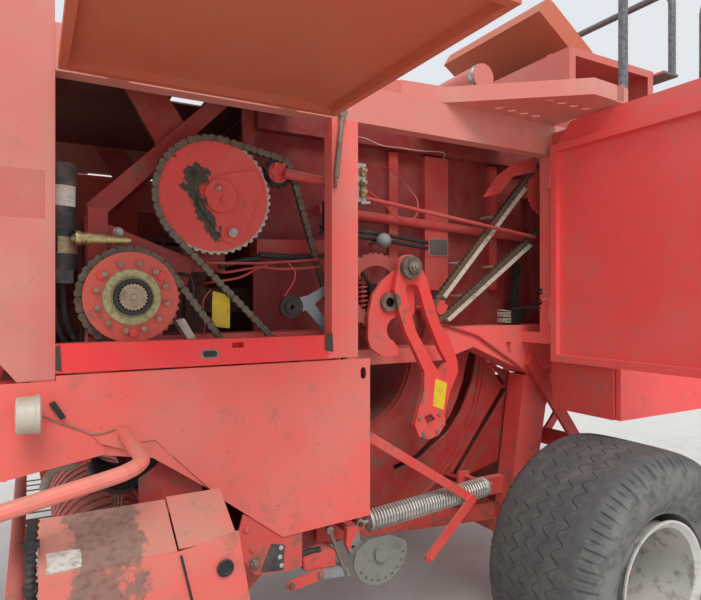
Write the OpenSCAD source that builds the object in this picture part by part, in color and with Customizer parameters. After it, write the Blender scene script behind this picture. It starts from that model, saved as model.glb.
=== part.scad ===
// Large square baler, towed, with its side covers open and its knotter hood raised.
// Working frame: X forward from the axle, Y to the left, Z up from the ground, mm.
// The finished part is shifted so that its origin is the centre of the hitch eye.

/* [Hitch and tongue] */
// Distance from the axle to the centre of the hitch eye
hitch_x = 4600; // [4200:10:5000]
// Height of the hitch eye above the ground
hitch_z = 480; // [440:5:520]
// Bore of the hitch eye
hitch_bore = 51; // [40:1:56]
// Width of the tongue beam
tongue_w = 200; // [160:5:260]
// Forward distance of the parking jack from the axle
jack_x = 3850; // [3600:10:3950]
// Outer diameter of the jack leg
jack_d = 76; // [60:1:90]

/* [Wheels] */
// Outer radius of a tyre
tyre_r = 490; // [460:1:500]
// Width of a tyre
tyre_w = 500; // [440:5:520]
// Distance from the centre plane to the middle of a tyre
tyre_y = 1045; // [1040:1:1080]
// Radius of the bead seat
rim_r = 216; // [200:1:230]
// Diameter of the wheel spindle
spindle_d = 90; // [70:1:110]

/* [Bale chamber] */
// Inner half width of the bale chamber
bale_hw = 400; // [380:1:405]
// Height of the chamber floor above the ground
floor_z = 1410; // [1400:1:1425]
// Height of the bale chamber
bale_h = 880; // [850:1:900]
// Rear end of the chamber, behind the axle
chamber_rear = 2300; // [2200:10:2500]
// Front end of the chamber side walls
wall_front = 1300; // [1250:10:1340]
// Thickness of the chamber walls
wall_t = 12; // [8:1:16]

/* [Body] */
// Distance from the centre plane to the outer face of the side panels
side_y = 715; // [705:1:730]
// Thickness of sheet panels
skin = 4; // [3:0.5:5]
// Depth of the side posts, sills and beams
post_d = 60; // [50:1:70]
// Lower edge of the top side beam
beam_z = 2207; // [2190:1:2215]
// Height of the top side beam
beam_h = 138; // [120:1:150]
// Rear edge of the middle post
post_x = 1003; // [995:1:1010]
// Width of the middle post
post_w = 108; // [90:1:115]
// Underside of the sill
sill_z = 1339; // [1335:1:1345]
// Height of the sill
sill_h = 84; // [70:1:95]
// Front end of the drive bay
bay_front = 1999; // [1980:1:2015]
// Front end of the nose
nose_x = 2800; // [2720:10:2900]

/* [Covers] */
// Depth of the hollow flanges of the covers
cover_d = 30; // [24:1:34]
// Distance of the cover hinges outside the side panels
hinge_off = 20; // [19:0.5:24]
// Diameter of the hinge knuckles
knuckle_d = 20; // [16:1:22]
// Length of the drive bay cover, from hinge to free edge
hood_len = 905; // [860:5:915]
// Length of the knotter bay door, from hinge to free edge
door_len = 962; // [930:1:964]

/* [Twine boxes] */
// Outer face of the twine boxes
twine_y = 1030; // [1010:5:1060]
// Underside of the twine boxes
twine_z = 1060; // [1040:5:1100]
// Length of the twine boxes
twine_len = 1500; // [1300:10:1600]

/* [Pickup] */
// Half width between the pickup side sheets
pickup_hw = 1100; // [1050:5:1120]
// Forward position of the pickup reel
reel_x = 1780; // [1760:5:1800]
// Height of the pickup reel at rest
reel_z = 560; // [550:1:580]
// Radius of the tine tips
tine_r = 300; // [280:1:305]
// Outer radius of the stripper bands
band_r = 196; // [190:1:205]
// Number of tine bars on the reel
tine_bars = 4; // [3:1:5]
// Spacing of the tines along the reel
tine_pitch = 91; // [88:1:100]
// Pickup pivot, forward of the axle
pivot_x = 1120; // [1100:5:1140]
// Pickup pivot height
pivot_z = 700; // [690:5:720]

/* [Drive] */
// Radius of the main sprocket over the teeth
sprocket_r = 205; // [190:1:210]
// Number of teeth on the main sprocket
sprocket_teeth = 48; // [40:1:52]
// Radius of the slip clutch
clutch_r = 142; // [130:1:150]
// Radius of the flywheel
flywheel_r = 330; // [300:1:340]
// Height of the flywheel shaft
shaft_z = 1500; // [1490:1:1520]
// Pitch of the drive chains
chain_pitch = 25.4; // [19.05:0.05:31.75]

/* [Hidden] */
$fn = 48;
gap = 0.3;          // running or seating clearance between curved faces
clear = 5;          // clearance of moving panels
wall_y = bale_hw + wall_t;                 // outer face of the chamber walls
roof_z = floor_z + bale_h;                 // underside of the chamber roof
rail_y = wall_y + 128;                     // outer face of the chassis rails
rail_z0 = 1210;                            // underside of the chassis rails
rail_z1 = floor_z + 20;                    // top of the chassis rails
post_y = side_y - post_d;                  // inner face of posts and beams
beam_top = beam_z + beam_h;
sill_top = sill_z + sill_h;
cross_x0 = 1900; cross_x1 = 2137;          // front cross member, rear and front faces
cross_z0 = 1060; cross_z1 = 1320;
hinge_y = side_y + hinge_off;
hood_z = beam_z + 8;                       // hinge line of the drive bay cover
door_x = 20;                               // hinge line of the knotter bay door
chute_c = [880, 1310];                     // centre of the stuffer chute curve
chute_ro = 760; chute_ri = 330;            // pan and roof radii of the chute
lip_x = chamber_rear + 40;                 // hinge of the bale chute
lip_z = floor_z - 50;
box_hinge = [-twine_len, twine_y + 17];    // hinge line of the twine box door, X and Y
hoodk = [-800, 2766];                      // hinge line of the knotter hood
guard_pin = [1640, 830];                   // pivot of the windguard
gauge = [1560, 340];                       // axle of the pickup gauge wheels
gauge_r = 200;
drive_y = rail_y + 50;                     // middle plane of the open chain drives
main_c = [1503, 1911];                     // centre of the main sprocket
ring_c = [855, 1589];                      // centre of the ring sprocket behind the crank
clutch_c = [1782, 1559];                   // centre of the slip clutch
crank_c = [737, 1680];                     // boss of the stuffer crank
low_c = [1450, 1270];                      // sprocket below the sill
chain_h = 26;                              // height of a chain's side plates
stub_z = 900; stub_r = 40;                 // input stub of the driveline

// ---- helpers ----
module at_hitch() translate([-hitch_x, 0, -hitch_z]) children();
module side(s) mirror([0, s < 0 ? 1 : 0, 0]) children();
module box(x0, x1, y0, y1, z0, z1) translate([x0, y0, z0]) cube([x1 - x0, y1 - y0, z1 - z0]);
// profile in X,Z extruded between two Y planes
module plate_y(pts, y0, y1) translate([0, y1, 0]) rotate([90, 0, 0]) linear_extrude(y1 - y0) polygon(pts);
module shape_y(y0, y1) translate([0, y1, 0]) rotate([90, 0, 0]) linear_extrude(y1 - y0) children();
// profile in Y,Z extruded between two X planes
module plate_x(pts, x0, x1) translate([x0, 0, 0]) rotate([90, 0, 90]) linear_extrude(x1 - x0) polygon(pts);
module disc_y(x, z, r, y0, y1) translate([x, y1, z]) rotate([90, 0, 0]) cylinder(r = r, h = y1 - y0);
module disc_x(y, z, r, x0, x1) translate([x0, y, z]) rotate([0, 90, 0]) cylinder(r = r, h = x1 - x0);
module rod(a, b, d) {
    v = b - a; l = norm(v);
    translate(a) rotate([0, acos(v[2] / l), atan2(v[1], v[0])]) cylinder(d = d, h = l);
}
function unit(v) = v / norm(v);
// a line of points with its corners rounded to bend radius b
function rounded(p, b, k = 5) = [for (i = [0 : len(p) - 1])
    each (i == 0 || i == len(p) - 1) ? [p[i]] :
        let (u = unit(p[i - 1] - p[i]), w = unit(p[i + 1] - p[i]), h = acos(u * w) / 2,
             c = p[i] + unit(u + w) * b / sin(h), r0 = p[i] + u * b / tan(h) - c)
        [for (j = [0 : k]) let (a = (180 - 2 * h) * j / k) c + r0 * cos(a) - u * b * sin(a)]];
// round bar or tube of diameter d swept along points; ref is a direction that the path never follows
module sweep(p, d, ref = [0, 0, 1], n = 12) {
    m = len(p);
    rings = [for (i = [0 : m - 1])
        let (t = unit((i < m - 1 ? unit(p[i + 1] - p[i]) : [0, 0, 0]) +
                 (i > 0 ? unit(p[i] - p[i - 1]) : [0, 0, 0])),
             a = unit(cross(t, ref)), b = cross(t, a))
        for (j = [0 : n - 1]) p[i] + (a * cos(360 * j / n) + b * sin(360 * j / n)) * d / 2];
    polyhedron(rings, concat([[for (j = [0 : n - 1]) j]],
        [for (i = [0 : m - 2]) for (j = [0 : n - 1])
            [i * n + j, (i + 1) * n + j, (i + 1) * n + (j + 1) % n, i * n + (j + 1) % n]],
        [[for (j = [n - 1 : -1 : 0]) (m - 1) * n + j]]));
}
function arc(c, r, a0, a1, n) =
    [for (i = [0 : n]) let (a = a0 + (a1 - a0) * i / n) [c[0] + r * cos(a), c[1] + r * sin(a)]];
// toothed outline: tip radius r, tooth height h, n teeth
function teeth(r, h, n) = [for (i = [0 : n - 1]) let (p = 360 / n)
    each [[(r - h) * cos(p * i), (r - h) * sin(p * i)],
          [r * cos(p * (i + 0.35)), r * sin(p * (i + 0.35))],
          [r * cos(p * (i + 0.6)), r * sin(p * (i + 0.6))]]];
// belt line round a list of circles [x, z, r] met in anticlockwise order, as points
function tangent_a(p, q) = let (dx = q[0] - p[0], dz = q[1] - p[1], d = norm([dx, dz]))
    atan2(dz, dx) - 90 + asin((q[2] - p[2]) / d) * -1;
function belt(c, e, step) = let (n = len(c))
    [for (i = [0 : n - 1])
        let (p = c[(i + n - 1) % n], q = c[i], s = c[(i + 1) % n],
             a0 = tangent_a(p, q), a1r = tangent_a(q, s),
             a1 = a1r < a0 ? a1r + 360 : a1r, k = max(2, ceil((a1 - a0) / step)))
        for (j = [0 : k]) let (a = a0 + (a1 - a0) * j / k)
            [q[0] + (q[2] + e) * cos(a), q[1] + (q[2] + e) * sin(a)]];
// one side plate run of a chain: belt band with a scalloped outer edge
module chain_run(c, y0, y1) {
    p = belt(c, 0, 10);
    n = len(p);
    len_at = [for (i = 0, l = 0; i <= n; l = l + norm(p[(i + 1) % n] - p[i % n]), i = i + 1) l];
    tx = [for (i = [0 : n]) [len_at[i], p[i % n][0]]];
    tz = [for (i = [0 : n]) [len_at[i], p[i % n][1]]];
    links = 2 * round(len_at[n] / chain_pitch / 2);
    function at(l) = let (m = (l + len_at[n]) % len_at[n]) [lookup(m, tx), lookup(m, tz)];
    function edge(l, k) = let (u = unit(at(l + 3) - at(l - 3))) at(l) + [u[1], -u[0]] * k * chain_h / 2;
    shape_y(y0, y1) difference() {
        // full height at each pin, waisted between the pins
        polygon([for (i = [0 : 2 * links - 1]) edge(len_at[n] * i / links / 2, i % 2 == 0 ? 1 : 0.72)]);
        polygon([for (i = [0 : links - 1]) edge(len_at[n] * i / links, -0.9)]);
    }
}

// ---- tongue, hitch, jack ----
module tongue() color("firebrick") {
    difference() {
        union() {
            plate_y([[cross_x1, 1140], [2450, 1140], [4380, 620], [4450, 620], [4450, 400], [4380, 400],
                [2450, 890], [cross_x1, 890]],
                -tongue_w / 2, tongue_w / 2);
            box(cross_x0, cross_x1, -post_y, post_y, cross_z0, cross_z1);
            // gussets down from the cross member to the beam
            plate_y([[cross_x0 + 40, cross_z0], [cross_x1, cross_z0], [cross_x1, 900]],
                -tongue_w / 2, tongue_w / 2);
            // jack sleeve and its lug
            translate([jack_x, tongue_w / 2 + 60, 380]) cylinder(d = jack_d + 16, h = 520);
            box(jack_x - 60, jack_x + 60, tongue_w / 2 - 5, tongue_w / 2 + 30, 500, 700);
            // flanges along the beam
            for (z = [0, 232]) plate_y([[cross_x1, 1140 - z], [2450, 1140 - z], [4380, 620 - z * 0.86],
                [4380, 605 - z * 0.86], [2450, 1122 - z], [cross_x1, 1122 - z]],
                -tongue_w / 2 - 25, tongue_w / 2 + 25);
            // stand for the input bearing
            box(3700, 3780, -80, 80, 700, 990);
        }
        translate([jack_x, tongue_w / 2 + 60, 300]) cylinder(d = jack_d + 2 * gap, h = 700);
        disc_x(0, stub_z, stub_r - 10 + gap, 3704, 3790);
    }
}
module hitch_eye() color("dimgray") difference() {
    union() {
        translate([hitch_x, 0, hitch_z - 25]) cylinder(d = 120, h = 50);
        box(4450, hitch_x - 20, -50, 50, hitch_z - 25, hitch_z + 25);
        box(4450, 4480, -90, 90, 410, 610);
    }
    translate([hitch_x, 0, hitch_z - 40]) cylinder(d = hitch_bore, h = 80);
}
module jack_leg() color("silver") translate([jack_x, tongue_w / 2 + 60, 0]) {
    cylinder(d = 220, h = 14);
    translate([0, 0, 14]) cylinder(d = jack_d, h = 780);
}

// ---- side frames, walls, floor, roof ----
module side_frame(s) side(s) color("indianred") {
    // chassis rail: deep at the rear and front, slim beside the crank, bevelled between
    difference() {
        plate_y([[-chamber_rear, rail_z0], [-98, rail_z0], [-58, rail_z0 - 20], [298, 1337], [403, 1307],
            [403, 1285], [960, 1285], [1040, rail_z0],
            [cross_x0, rail_z0], [cross_x0, rail_z1], [1040, rail_z1], [960, 1348], [500, 1348],
                [470, rail_z1], [-chamber_rear, rail_z1]], wall_y, rail_y);
        // oblong hole with its plate bolt hole
        box(68, 98, rail_y - 20, rail_y + 1, 1300, 1352);
        for (x = [-700, -1180, -1660, -2140]) disc_y(x, 1320, 32, rail_y - 60, rail_y + 1);
    }
    // posts [rear edge, front edge, foot z]
    for (p = [[-60, 0, rail_z1 - 80], [post_x, post_x + post_w, sill_z + 2]])
        box(p[0], p[1], post_y, side_y, p[2], beam_z);
    box(bay_front, bay_front + 61, post_y, side_y - skin, 1100, beam_top);
    difference() {
        box(post_x + post_w, bay_front, post_y, side_y, sill_z, sill_top);
        box(1440, 1480, side_y - 30, side_y + 1, 1392, 1410);
    }
    box(-1900, bay_front, post_y, side_y, beam_z, beam_top);
    // outriggers from the rail to the posts
    for (x = [-60, post_x + 44, -1000, -1480]) box(x, x + 60, rail_y, post_y, rail_z1 - 80, rail_z1 - 30);
    for (x = [-1000, -1480]) box(x, x + 60, post_y, side_y, rail_z1 - 80, beam_z);
    // knuckles of the drive bay cover
    for (x = [1250, 1800]) {
        box(x, x + 60, side_y, hinge_y - knuckle_d / 2 + 2, hood_z - 4, hood_z + 4);
        rod([x, hinge_y, hood_z], [x + 60, hinge_y, hood_z], knuckle_d);
    }
    // knuckles of the knotter bay door
    for (z = [1450, 2050]) {
        box(-10, door_x, side_y, hinge_y - knuckle_d / 2 + 2, z, z + 60);
        rod([door_x, hinge_y, z], [door_x, hinge_y, z + 60], knuckle_d);
        box(-10, door_x + 4, hinge_y - knuckle_d / 2, hinge_y - knuckle_d / 2 + 4, z, z + 60);
    }
}
module chamber_wall(s) side(s) color("firebrick") {
    box(-chamber_rear, wall_front, bale_hw, wall_y, floor_z - 80, roof_z + wall_t);
    for (x = [-2200 : 330 : -200]) box(x, x + 50, wall_y, wall_y + 40, rail_z1, beam_z - 40);
    box(-chamber_rear, wall_front, wall_y, wall_y + 50, roof_z - 80, roof_z + wall_t);
}
module chamber_floor() color("gray") {
    box(-chamber_rear, chute_c[0] - chute_ro - 12, -bale_hw, bale_hw, floor_z - 20, floor_z);
    box(chute_c[0] - chute_ri, wall_front, -bale_hw, bale_hw, floor_z - 20, floor_z);
    // hinge lugs and pins of the bale chute
    for (s = [-1, 1]) side(s) {
        box(-lip_x - 30, -lip_x + 90, bale_hw - 24, bale_hw - 12, lip_z - 30, floor_z - 20);
        rod([-lip_x, bale_hw - 12, lip_z], [-lip_x, 340, lip_z], 30);
    }
}
module chamber_roof() color("firebrick") {
    box(-chamber_rear, wall_front, -bale_hw, bale_hw, roof_z, roof_z + wall_t);
    // cross members that join the two top beams
    for (x = [80, 1180]) box(x, x + 80, -post_y, post_y, roof_z + wall_t, beam_top);
    // plate over the drive bay, with its open corner, and the rear end of the bay
    difference() {
        box(1260, bay_front + 60, -post_y, post_y, beam_top - 6, beam_top);
        box(1452, 1580, 205, 330, beam_top - 10, beam_top + 4);
    }
    for (x = [-2200, -1450]) box(x, x + 60, -bale_hw, bale_hw, roof_z + wall_t, roof_z + wall_t + 40);
}

// ---- stuffer chute ----
module stuffer_chute() color("firebrick") {
    c = chute_c; mouth = 1340;
    side_pts = concat(arc(c, chute_ro + 12, 180, 270, 18), [[mouth, c[1] - chute_ro - 12 - 60]],
        [[mouth, 1060], [c[0] + 40, 1000]], arc(c, chute_ri, 270, 180, 10), [[c[0] - chute_ri, 1330],
            [c[0] - chute_ro - 12, 1330]]);
    for (s = [-1, 1]) side(s) {
        difference() {
            plate_y(side_pts, bale_hw, wall_y);
            // curved slot that the crank's finger follows
            plate_y([[168, 1317], [172, 1250], [195, 1160], [236, 1070], [271, 1008], [341, 927],
                [500, 829], [640, 790],
                [650, 812], [526, 848], [381, 953], [327, 1013], [292, 1075], [255, 1160], [232, 1250],
                    [206, 1317]], bale_hw - 1, wall_y + 1);
        }
        // rim along the pan's edge
        plate_y(concat(arc(c, chute_ro + 2, 188, 262, 14), arc(c, chute_ro - 8, 262, 188, 14)), wall_y,
            wall_y + 14);
        // back plate between the chute and the axle leg, with its straight and short slots
        difference() {
            plate_y([[-58, 1184], [150, 1262], [166, 1150], [192, 1050], [250, 940], [340, 820],
                [400, 748], [286, 700], [24, 760], [-68, 874], [-190, 980], [-158, 1165]],
                    wall_y, wall_y + 8);
            plate_y([[-28, 1108], [24, 1112], [328, 738], [296, 722]], wall_y - 1, wall_y + 9);
            plate_y([[93, 1226], [65, 1220], [-12, 1134], [10, 1126]], wall_y - 1, wall_y + 9);
        }
        // rims of the straight slot
        plate_y([[-36, 1104], [-28, 1108], [296, 722], [288, 718]], wall_y + 8, wall_y + 16);
        plate_y([[24, 1112], [32, 1116], [336, 742], [328, 738]], wall_y + 8, wall_y + 16);
    }
    // pickup pivots, and the front anchor of the trip spring on the left
    for (s = [-1, 1]) side(s) disc_y(pivot_x, pivot_z, 20, wall_y, wall_y + 43);
    disc_y(spring_a[0], spring_a[1], 10, wall_y, spring_y + 15);
    // pan
    plate_y(concat(arc(c, chute_ro, 180, 270, 18), [[mouth, c[1] - chute_ro - 60],
        [mouth, c[1] - chute_ro - 72]],
        arc(c, chute_ro + 12, 270, 180, 18)), -bale_hw, bale_hw);
    // inner roof
    plate_y(concat(arc(c, chute_ri, 180, 270, 10), [[c[0] + 40, 1000], [mouth, 1060], [mouth, 1072],
        [c[0] + 40, 1012]],
        arc(c, chute_ri - 12, 270, 180, 10)), -bale_hw, bale_hw);
}
module stuffer_crank() color("firebrick") {
    b = crank_c; eye = [817, 1541];
    y0 = drive_y + 50; y1 = drive_y + 74;
    // bent pair of arms with the long slot and the square socket
    difference() {
        union() {
            plate_y([[690, 1700], [652, 1640], [619, 1544], [584, 1452], [530, 1386], [492, 1291],
                [489, 1247], [530, 1171], [560, 1079], [556, 1035], [590, 995],
                [640, 981], [690, 1000], [710, 1048], [690, 1113], [664, 1188], [663, 1258], [705, 1336],
                    [755, 1421], [788, 1510], [808, 1590], [796, 1650], [780, 1700]], y0, y1);
            disc_y(b[0], b[1], 52, y0, y1);
        }
        plate_y([[757, 1590], [748, 1612], [704, 1612], [692, 1600], [654, 1488], [584, 1345],
            [550, 1294], [588, 1252], [619, 1290], [705, 1426]], y0 - 1, y1 + 1);
        plate_y([[665, 1077], [632, 1087], [606, 1060], [641, 1033]], y0 - 1, y1 + 1);
    }
    // boss and its bolt
    disc_y(b[0], b[1], 46, y1, y1 + 24);
    disc_y(b[0], b[1], 17, y1 + 24, y1 + 36);
    // hooked counter plate with its bearing eye
    difference() {
        union() {
            plate_y([[737, 1730], [790, 1664], [847, 1622], [890, 1568], [908, 1492], [910, 1396],
                [896, 1360], [849, 1330], [769, 1326],
                [767, 1356], [798, 1392], [740, 1440], [690, 1500], [690, 1700]], y0 - 26, y0 - 8);
            disc_y(eye[0], eye[1], 38, y0 - 26, y0 + 6);
        }
        disc_y(776, 1432, 48, y0 - 27, y0 - 7);
        disc_y(eye[0], eye[1], 19, y0 - 20, y0 + 7);
    }
    // shaft through the open middle of the ring sprocket
    disc_y(eye[0], eye[1], 30, wall_y, y0 - 26);
}
module packer() color("dimgray") {
    rod([1250, -bale_hw, 800], [1250, bale_hw, 800], 60);
    for (y = [-300 : 150 : 300]) for (a = [0, 180])
        translate([1250, y, 800]) rotate([0, a + y / 5, 0]) translate([0, -9, 20]) cube([24, 18, 180]);
}

// ---- open drive ----
module clutch_hub() color("firebrick") {
    c = clutch_c; y0 = drive_y + 38;
    disc_y(c[0], c[1], 35, 300, y0);
    disc_y(c[0], c[1], clutch_r, y0, y0 + 22);
    disc_y(c[0], c[1], clutch_r - 12, y0 - 12, y0);
    shape_y(y0 - 28, y0 - 18) translate(c) polygon(teeth(158, 9, 38));
    difference() {
        disc_y(c[0], c[1], 86, y0 + 22, y0 + 29);
        disc_y(c[0], c[1], 64, y0 + 24, y0 + 30);
    }
    // bolt ring [radius from the axis, bolt radius, count]
    for (k = [0 : 11]) let (a = 30 * k + 11)
        disc_y(c[0] + 106 * cos(a), c[1] + 106 * sin(a), 10, y0 + 22, y0 + 34);
    shape_y(y0 + 22, y0 + 46) translate(c) polygon(teeth(52, 6, 24));
    disc_y(c[0], c[1], 40, y0 + 46, y0 + 50);
}
// [x, z, tip radius, teeth, inner Y, shaft start Y, bore]
sprocket_tab = [[main_c[0], main_c[1], sprocket_r, sprocket_teeth, drive_y - 10, wall_y + 88, 60],
    [1267, 2016, 58, 13, drive_y - 10, wall_y, 40], [1017, 1216, 62, 14, drive_y - 10, rail_y, 40],
    [low_c[0], low_c[1], 62, 14, drive_y + 10, rail_y, 40],
    [-143, 2088, 136, 32, drive_y - 30, wall_y, 50], [515, 1510, 47, 10, drive_y - 30, wall_y, 30]];
module sprockets() color("indianred") {
    for (t = sprocket_tab) {
        shape_y(t[4] - 1, t[4] + 11) translate([t[0], t[1]]) polygon(teeth(t[2], 9, t[3]));
        disc_y(t[0], t[1], t[6] / 2, t[5], t[4]);
        disc_y(t[0], t[1], t[6] / 2 + 8, t[4] + 10, t[4] + 22);
    }
    // cover plate on the main sprocket, with its hub disc and bolts
    plate_y([[1480, 1985], [1356, 2012], [1326, 1944], [1342, 1928], [1402, 1776], [1420, 1756],
        [1446, 1745], [1470, 1755], [1560, 1868], [1566, 1905], [1540, 1950]],
        drive_y, drive_y + 8);
    disc_y(1488, 1908, 56, drive_y + 8, drive_y + 22);
    for (b = [[1495, 1934], [1478, 1894], [1446, 1784]])
        disc_y(b[0], b[1], 10, drive_y + 8, drive_y + (b[1] < 1800 ? 18 : 30));
    // ring sprocket behind the crank, open in the middle, on three arms
    shape_y(drive_y + 2, drive_y + 12) difference() {
        translate(ring_c) polygon(teeth(150, 9, 34));
        translate(ring_c) circle(98);
    }
    for (a = [52, 172, 292]) rod([ring_c[0], drive_y - 4, ring_c[1]],
        [ring_c[0] + 124 * cos(a), drive_y - 4, ring_c[1] + 124 * sin(a)], 14);
    for (a = [52, 172, 292]) disc_y(ring_c[0] + 118 * cos(a), ring_c[1] + 118 * sin(a), 12, drive_y - 10,
        drive_y + 2);
    disc_y(ring_c[0], ring_c[1], 26, wall_y, drive_y + 4);
}
module drive_chains() color("black") {
    // [circles x, z, pitch radius in anticlockwise order], inner Y of the first side plate
    runs = [[[[main_c[0], main_c[1], sprocket_r - 6], [1267, 2016, 52], [1017, 1216, 56]], drive_y - 16],
        [[[-143, 2088, 129.6], [515, 1510, 41]], drive_y - 36],
        [[[clutch_c[0], clutch_c[1], 152], [low_c[0], low_c[1], 56]], drive_y + 4]];
    for (r = runs) for (k = [0, 17]) chain_run(r[0], r[1] + k, r[1] + k + 5);
}
module idler_bracket() color("slategray") difference() {
    union() {
        // arms [x, z, radius, x, z, radius]
        for (g = [[1225, 1524, 26, 1165, 1540, 26], [1165, 1540, 22, 1060, 1607, 12],
            [1165, 1540, 22, 1060, 1416, 12]])
            shape_y(612, 620) hull() {
                translate([g[0], g[1]]) circle(g[2], $fn = 32);
                translate([g[3], g[4]]) circle(g[5], $fn = 32);
            }
        disc_y(1225, 1524, 42, 592, 612);
        box(1040, 1075, 620, post_y, 1500, 1530);
        box(1040, 1075, 612, 620, 1430, 1600);
    }
    disc_y(1225, 1524, 9, 590, 630);
}
module gearbox() color("firebrick") {
    box(1450, 1900, -280, 280, 1330, 1760);
    disc_y(1700, 1559, 130, -300, 300);
    disc_x(0, shaft_z, 120, 1900, 1980);
    box(1500, 1850, -wall_y, wall_y, 1250, 1330);
    for (x = [1520 : 90 : 1880]) box(x, x + 14, -292, 292, 1345, 1775);
    // cover flange on top
    box(1490, 1860, -240, 240, 1775, 1795);
    disc_x(0, shaft_z, 165, 1900, 1915);
}
module braces() color("firebrick") {
    ya = wall_y + 48;
    for (s = [-1, 1]) side(s) {
        plate_y([[1789, 2290], [1655, 2290], [1561, 2151], [1665, 2074]], ya, ya + 20);
        plate_y([[1476, 2290], [1400, 2290], [1845, 1831], [1905, 1860]], ya + 20, ya + 40);
        plate_y([[1907, 1824], [1832, 1797], [1553, 1691], [1588, 1585], [1907, 1744]], ya + 40, ya + 60);
        plate_y([[1440, 1650], [1590, 1650], [1590, 1990], [1440, 1990]], ya + 20, ya + 40);
        box(1840, 1900, ya - 20, ya + 80, rail_z1, 1850);
        // upright strut and the channel behind the chain
        box(1302, 1348, wall_y, wall_y + 20, 2080, beam_top - 6);
        plate_y([[1317, 1778], [1010, 1790], [1010, 1738], [1317, 1722]], ya, ya + 40);
        box(1290, 1317, wall_y, ya, 1722, 1778);
    }
}
module grease_pump() color("dimgray") {
    translate([1985, 594, 1640]) cylinder(d = 104, h = 318);
    translate([1985, 594, 1762]) cylinder(d = 110, h = 16);
    translate([1985, 594, 1952]) cylinder(d = 96, h = 12);
    rod([1960, 620, 1738], [1800, 620, 1738], 30);
    rod([1940, 620, 1738], [1895, 620, 1738], 40);
    box(1948, 2050, 560, 650, 1600, 1640);
    box(bay_front + 6, 2050, 600, post_y, 1600, 1640);
}
module chain_guides() color("lightgray") {
    // light slides along the rear side of both strands of the knotter chain
    yk = drive_y - 36;
    // [x0, z0, x1, z1, step from that line to the chain's edge, first peg]
    for (g = [[24, 2093, 508, 1574.6, 9.6, 0.26], [-20, 1822, 478, 1470, 1, 0.3]]) {
        a = [g[0], g[1]]; b = [g[2], g[3]]; k0 = g[4];
        n = unit([g[3] - g[1], g[0] - g[2]]);
        plate_y([a + n * k0, b + n * k0, b + n * (k0 + 12), a + n * (k0 + 12)], yk - 4, yk + 24);
        plate_y([a + n * (k0 + 12), b + n * (k0 + 12), b + n * (k0 + 16), a + n * (k0 + 16)],
            yk - 4, yk + 30);
        for (t = [g[5], 0.7]) let (c = a + (b - a) * t + n * (k0 + 7))
            disc_y(c[0], c[1], 6, wall_y, yk - 4);
    }
    // slide beside the clutch chain
    plate_y([[1639, 1483], [1611, 1489], [1570, 1418], [1599, 1419]], rail_y, drive_y + 20);
}
module bay_rods() color("firebrick") {
    rod([post_x, 600, 1964], [-28, 600, 1848], 16);
    box(post_x - 10, post_x + 7, 590, post_y, 1948, 1980);
    rod([836, wall_y + 38, 1908], [-150, wall_y + 38, 1860], 42);
    // flat strap with its blank plate, and the two posts behind it
    plate_y([[503, 2200], [372, 2200], [372, 1595], [503, 1595]], wall_y, wall_y + 38);
    plate_y([[488, 1832], [372, 1832], [372, 1748], [488, 1748]], wall_y + 38, wall_y + 41);
    for (x = [640, 60]) box(x, x + 46, wall_y, wall_y + 24, 1600, 2200);
    // brake rod that bends down along the chassis band
    sweep(rounded([[500, rail_y + 7, 1450], [284, rail_y + 7, 1388], [70, rail_y + 7, 1262],
        [-30, rail_y + 7, 1196]], 120), 12, [0, 1, 0], 8);
    box(490, 510, wall_y, rail_y + 9, 1442, 1460);
    rod([1258, 622, 2008], [1016, 622, 1988], 38);
    box(990, 1040, 600, post_y, 1966, 2008);
}
spring_a = [952, 690]; spring_b = [300, 736];      // anchor pins of the trip spring
spring_y = 640;
module trip_spring() color("silver") {
    u = unit(spring_b - spring_a);
    a = spring_a + u * 40; b = spring_b - u * 30;
    turns = 43; r = 38; k = 10;
    w = [u[0], 0, u[1]]; v = [-u[1], 0, u[0]];
    l = norm(b - a);
    // coil with a solid core line inside that stands for the guide rod
    sweep([for (i = [0 : turns * k]) let (t = i / (turns * k))
        [a[0], spring_y, a[1]] + w * l * t + v * r * cos(360 * i / k) + [0, 1, 0] * r * sin(360 * i / k)],
        10, w, 6);
    for (e = [[spring_a, a], [spring_b, b]]) difference() {
        union() {
            disc_y(e[0][0], e[0][1], 18, spring_y - 8, spring_y + 8);
            rod([e[0][0], spring_y, e[0][1]], [e[1][0], spring_y, e[1][1]], 14);
            rod([e[1][0] - u[0] * 6, spring_y, e[1][1] - u[1] * 6],
                [e[1][0] + u[0] * 6, spring_y, e[1][1] + u[1] * 6], 82);
        }
        disc_y(e[0][0], e[0][1], 10 + gap, spring_y - 10, spring_y + 10);
    }
}
module trip_links() color("firebrick") {
    // flat links [x0, z0, x1, z1, inner Y], half width 18
    for (l = [[975, 1055, 450, 722, 690], [450, 722, 672, 525, 702]]) {
        n = unit([l[1] - l[3], l[2] - l[0]]) * 18;
        a = [l[0], l[1]]; b = [l[2], l[3]];
        plate_y([a + n, b + n, b - n, a - n], l[4], l[4] + 12);
        disc_y(l[0], l[1], 18, l[4], l[4] + 12);
        disc_y(l[2], l[3], 18, l[4], l[4] + 12);
        disc_y(l[2], l[3], 9, l[4] + 12, l[4] + 22);
    }
    disc_y(975, 1055, 12, 702, side_y - skin);
    // hook below the panel and the sector plate that sets the trip
    difference() {
        plate_y([[1046, 712], [1052, 657], [1030, 610], [990, 582], [905, 590], [905, 634], [965, 628],
            [992, 663], [1000, 712]], 690, 714);
        disc_y(1023, 640, 8, 689, 715);
    }
    difference() {
        union() {
            plate_y(concat(arc([915, 605], 118, 176, 350, 16), [[1020, 625], [965, 662], [870, 662],
                [805, 630]]), 724, 732);
            disc_y(915, 605, 30, 690, 746);
        }
        for (a = [190 : 17 : 340]) disc_y(915 + 102 * cos(a), 605 + 102 * sin(a), 6, 723, 733);
    }
    disc_y(1022, 688, 12, wall_y, 690);
}

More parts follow.
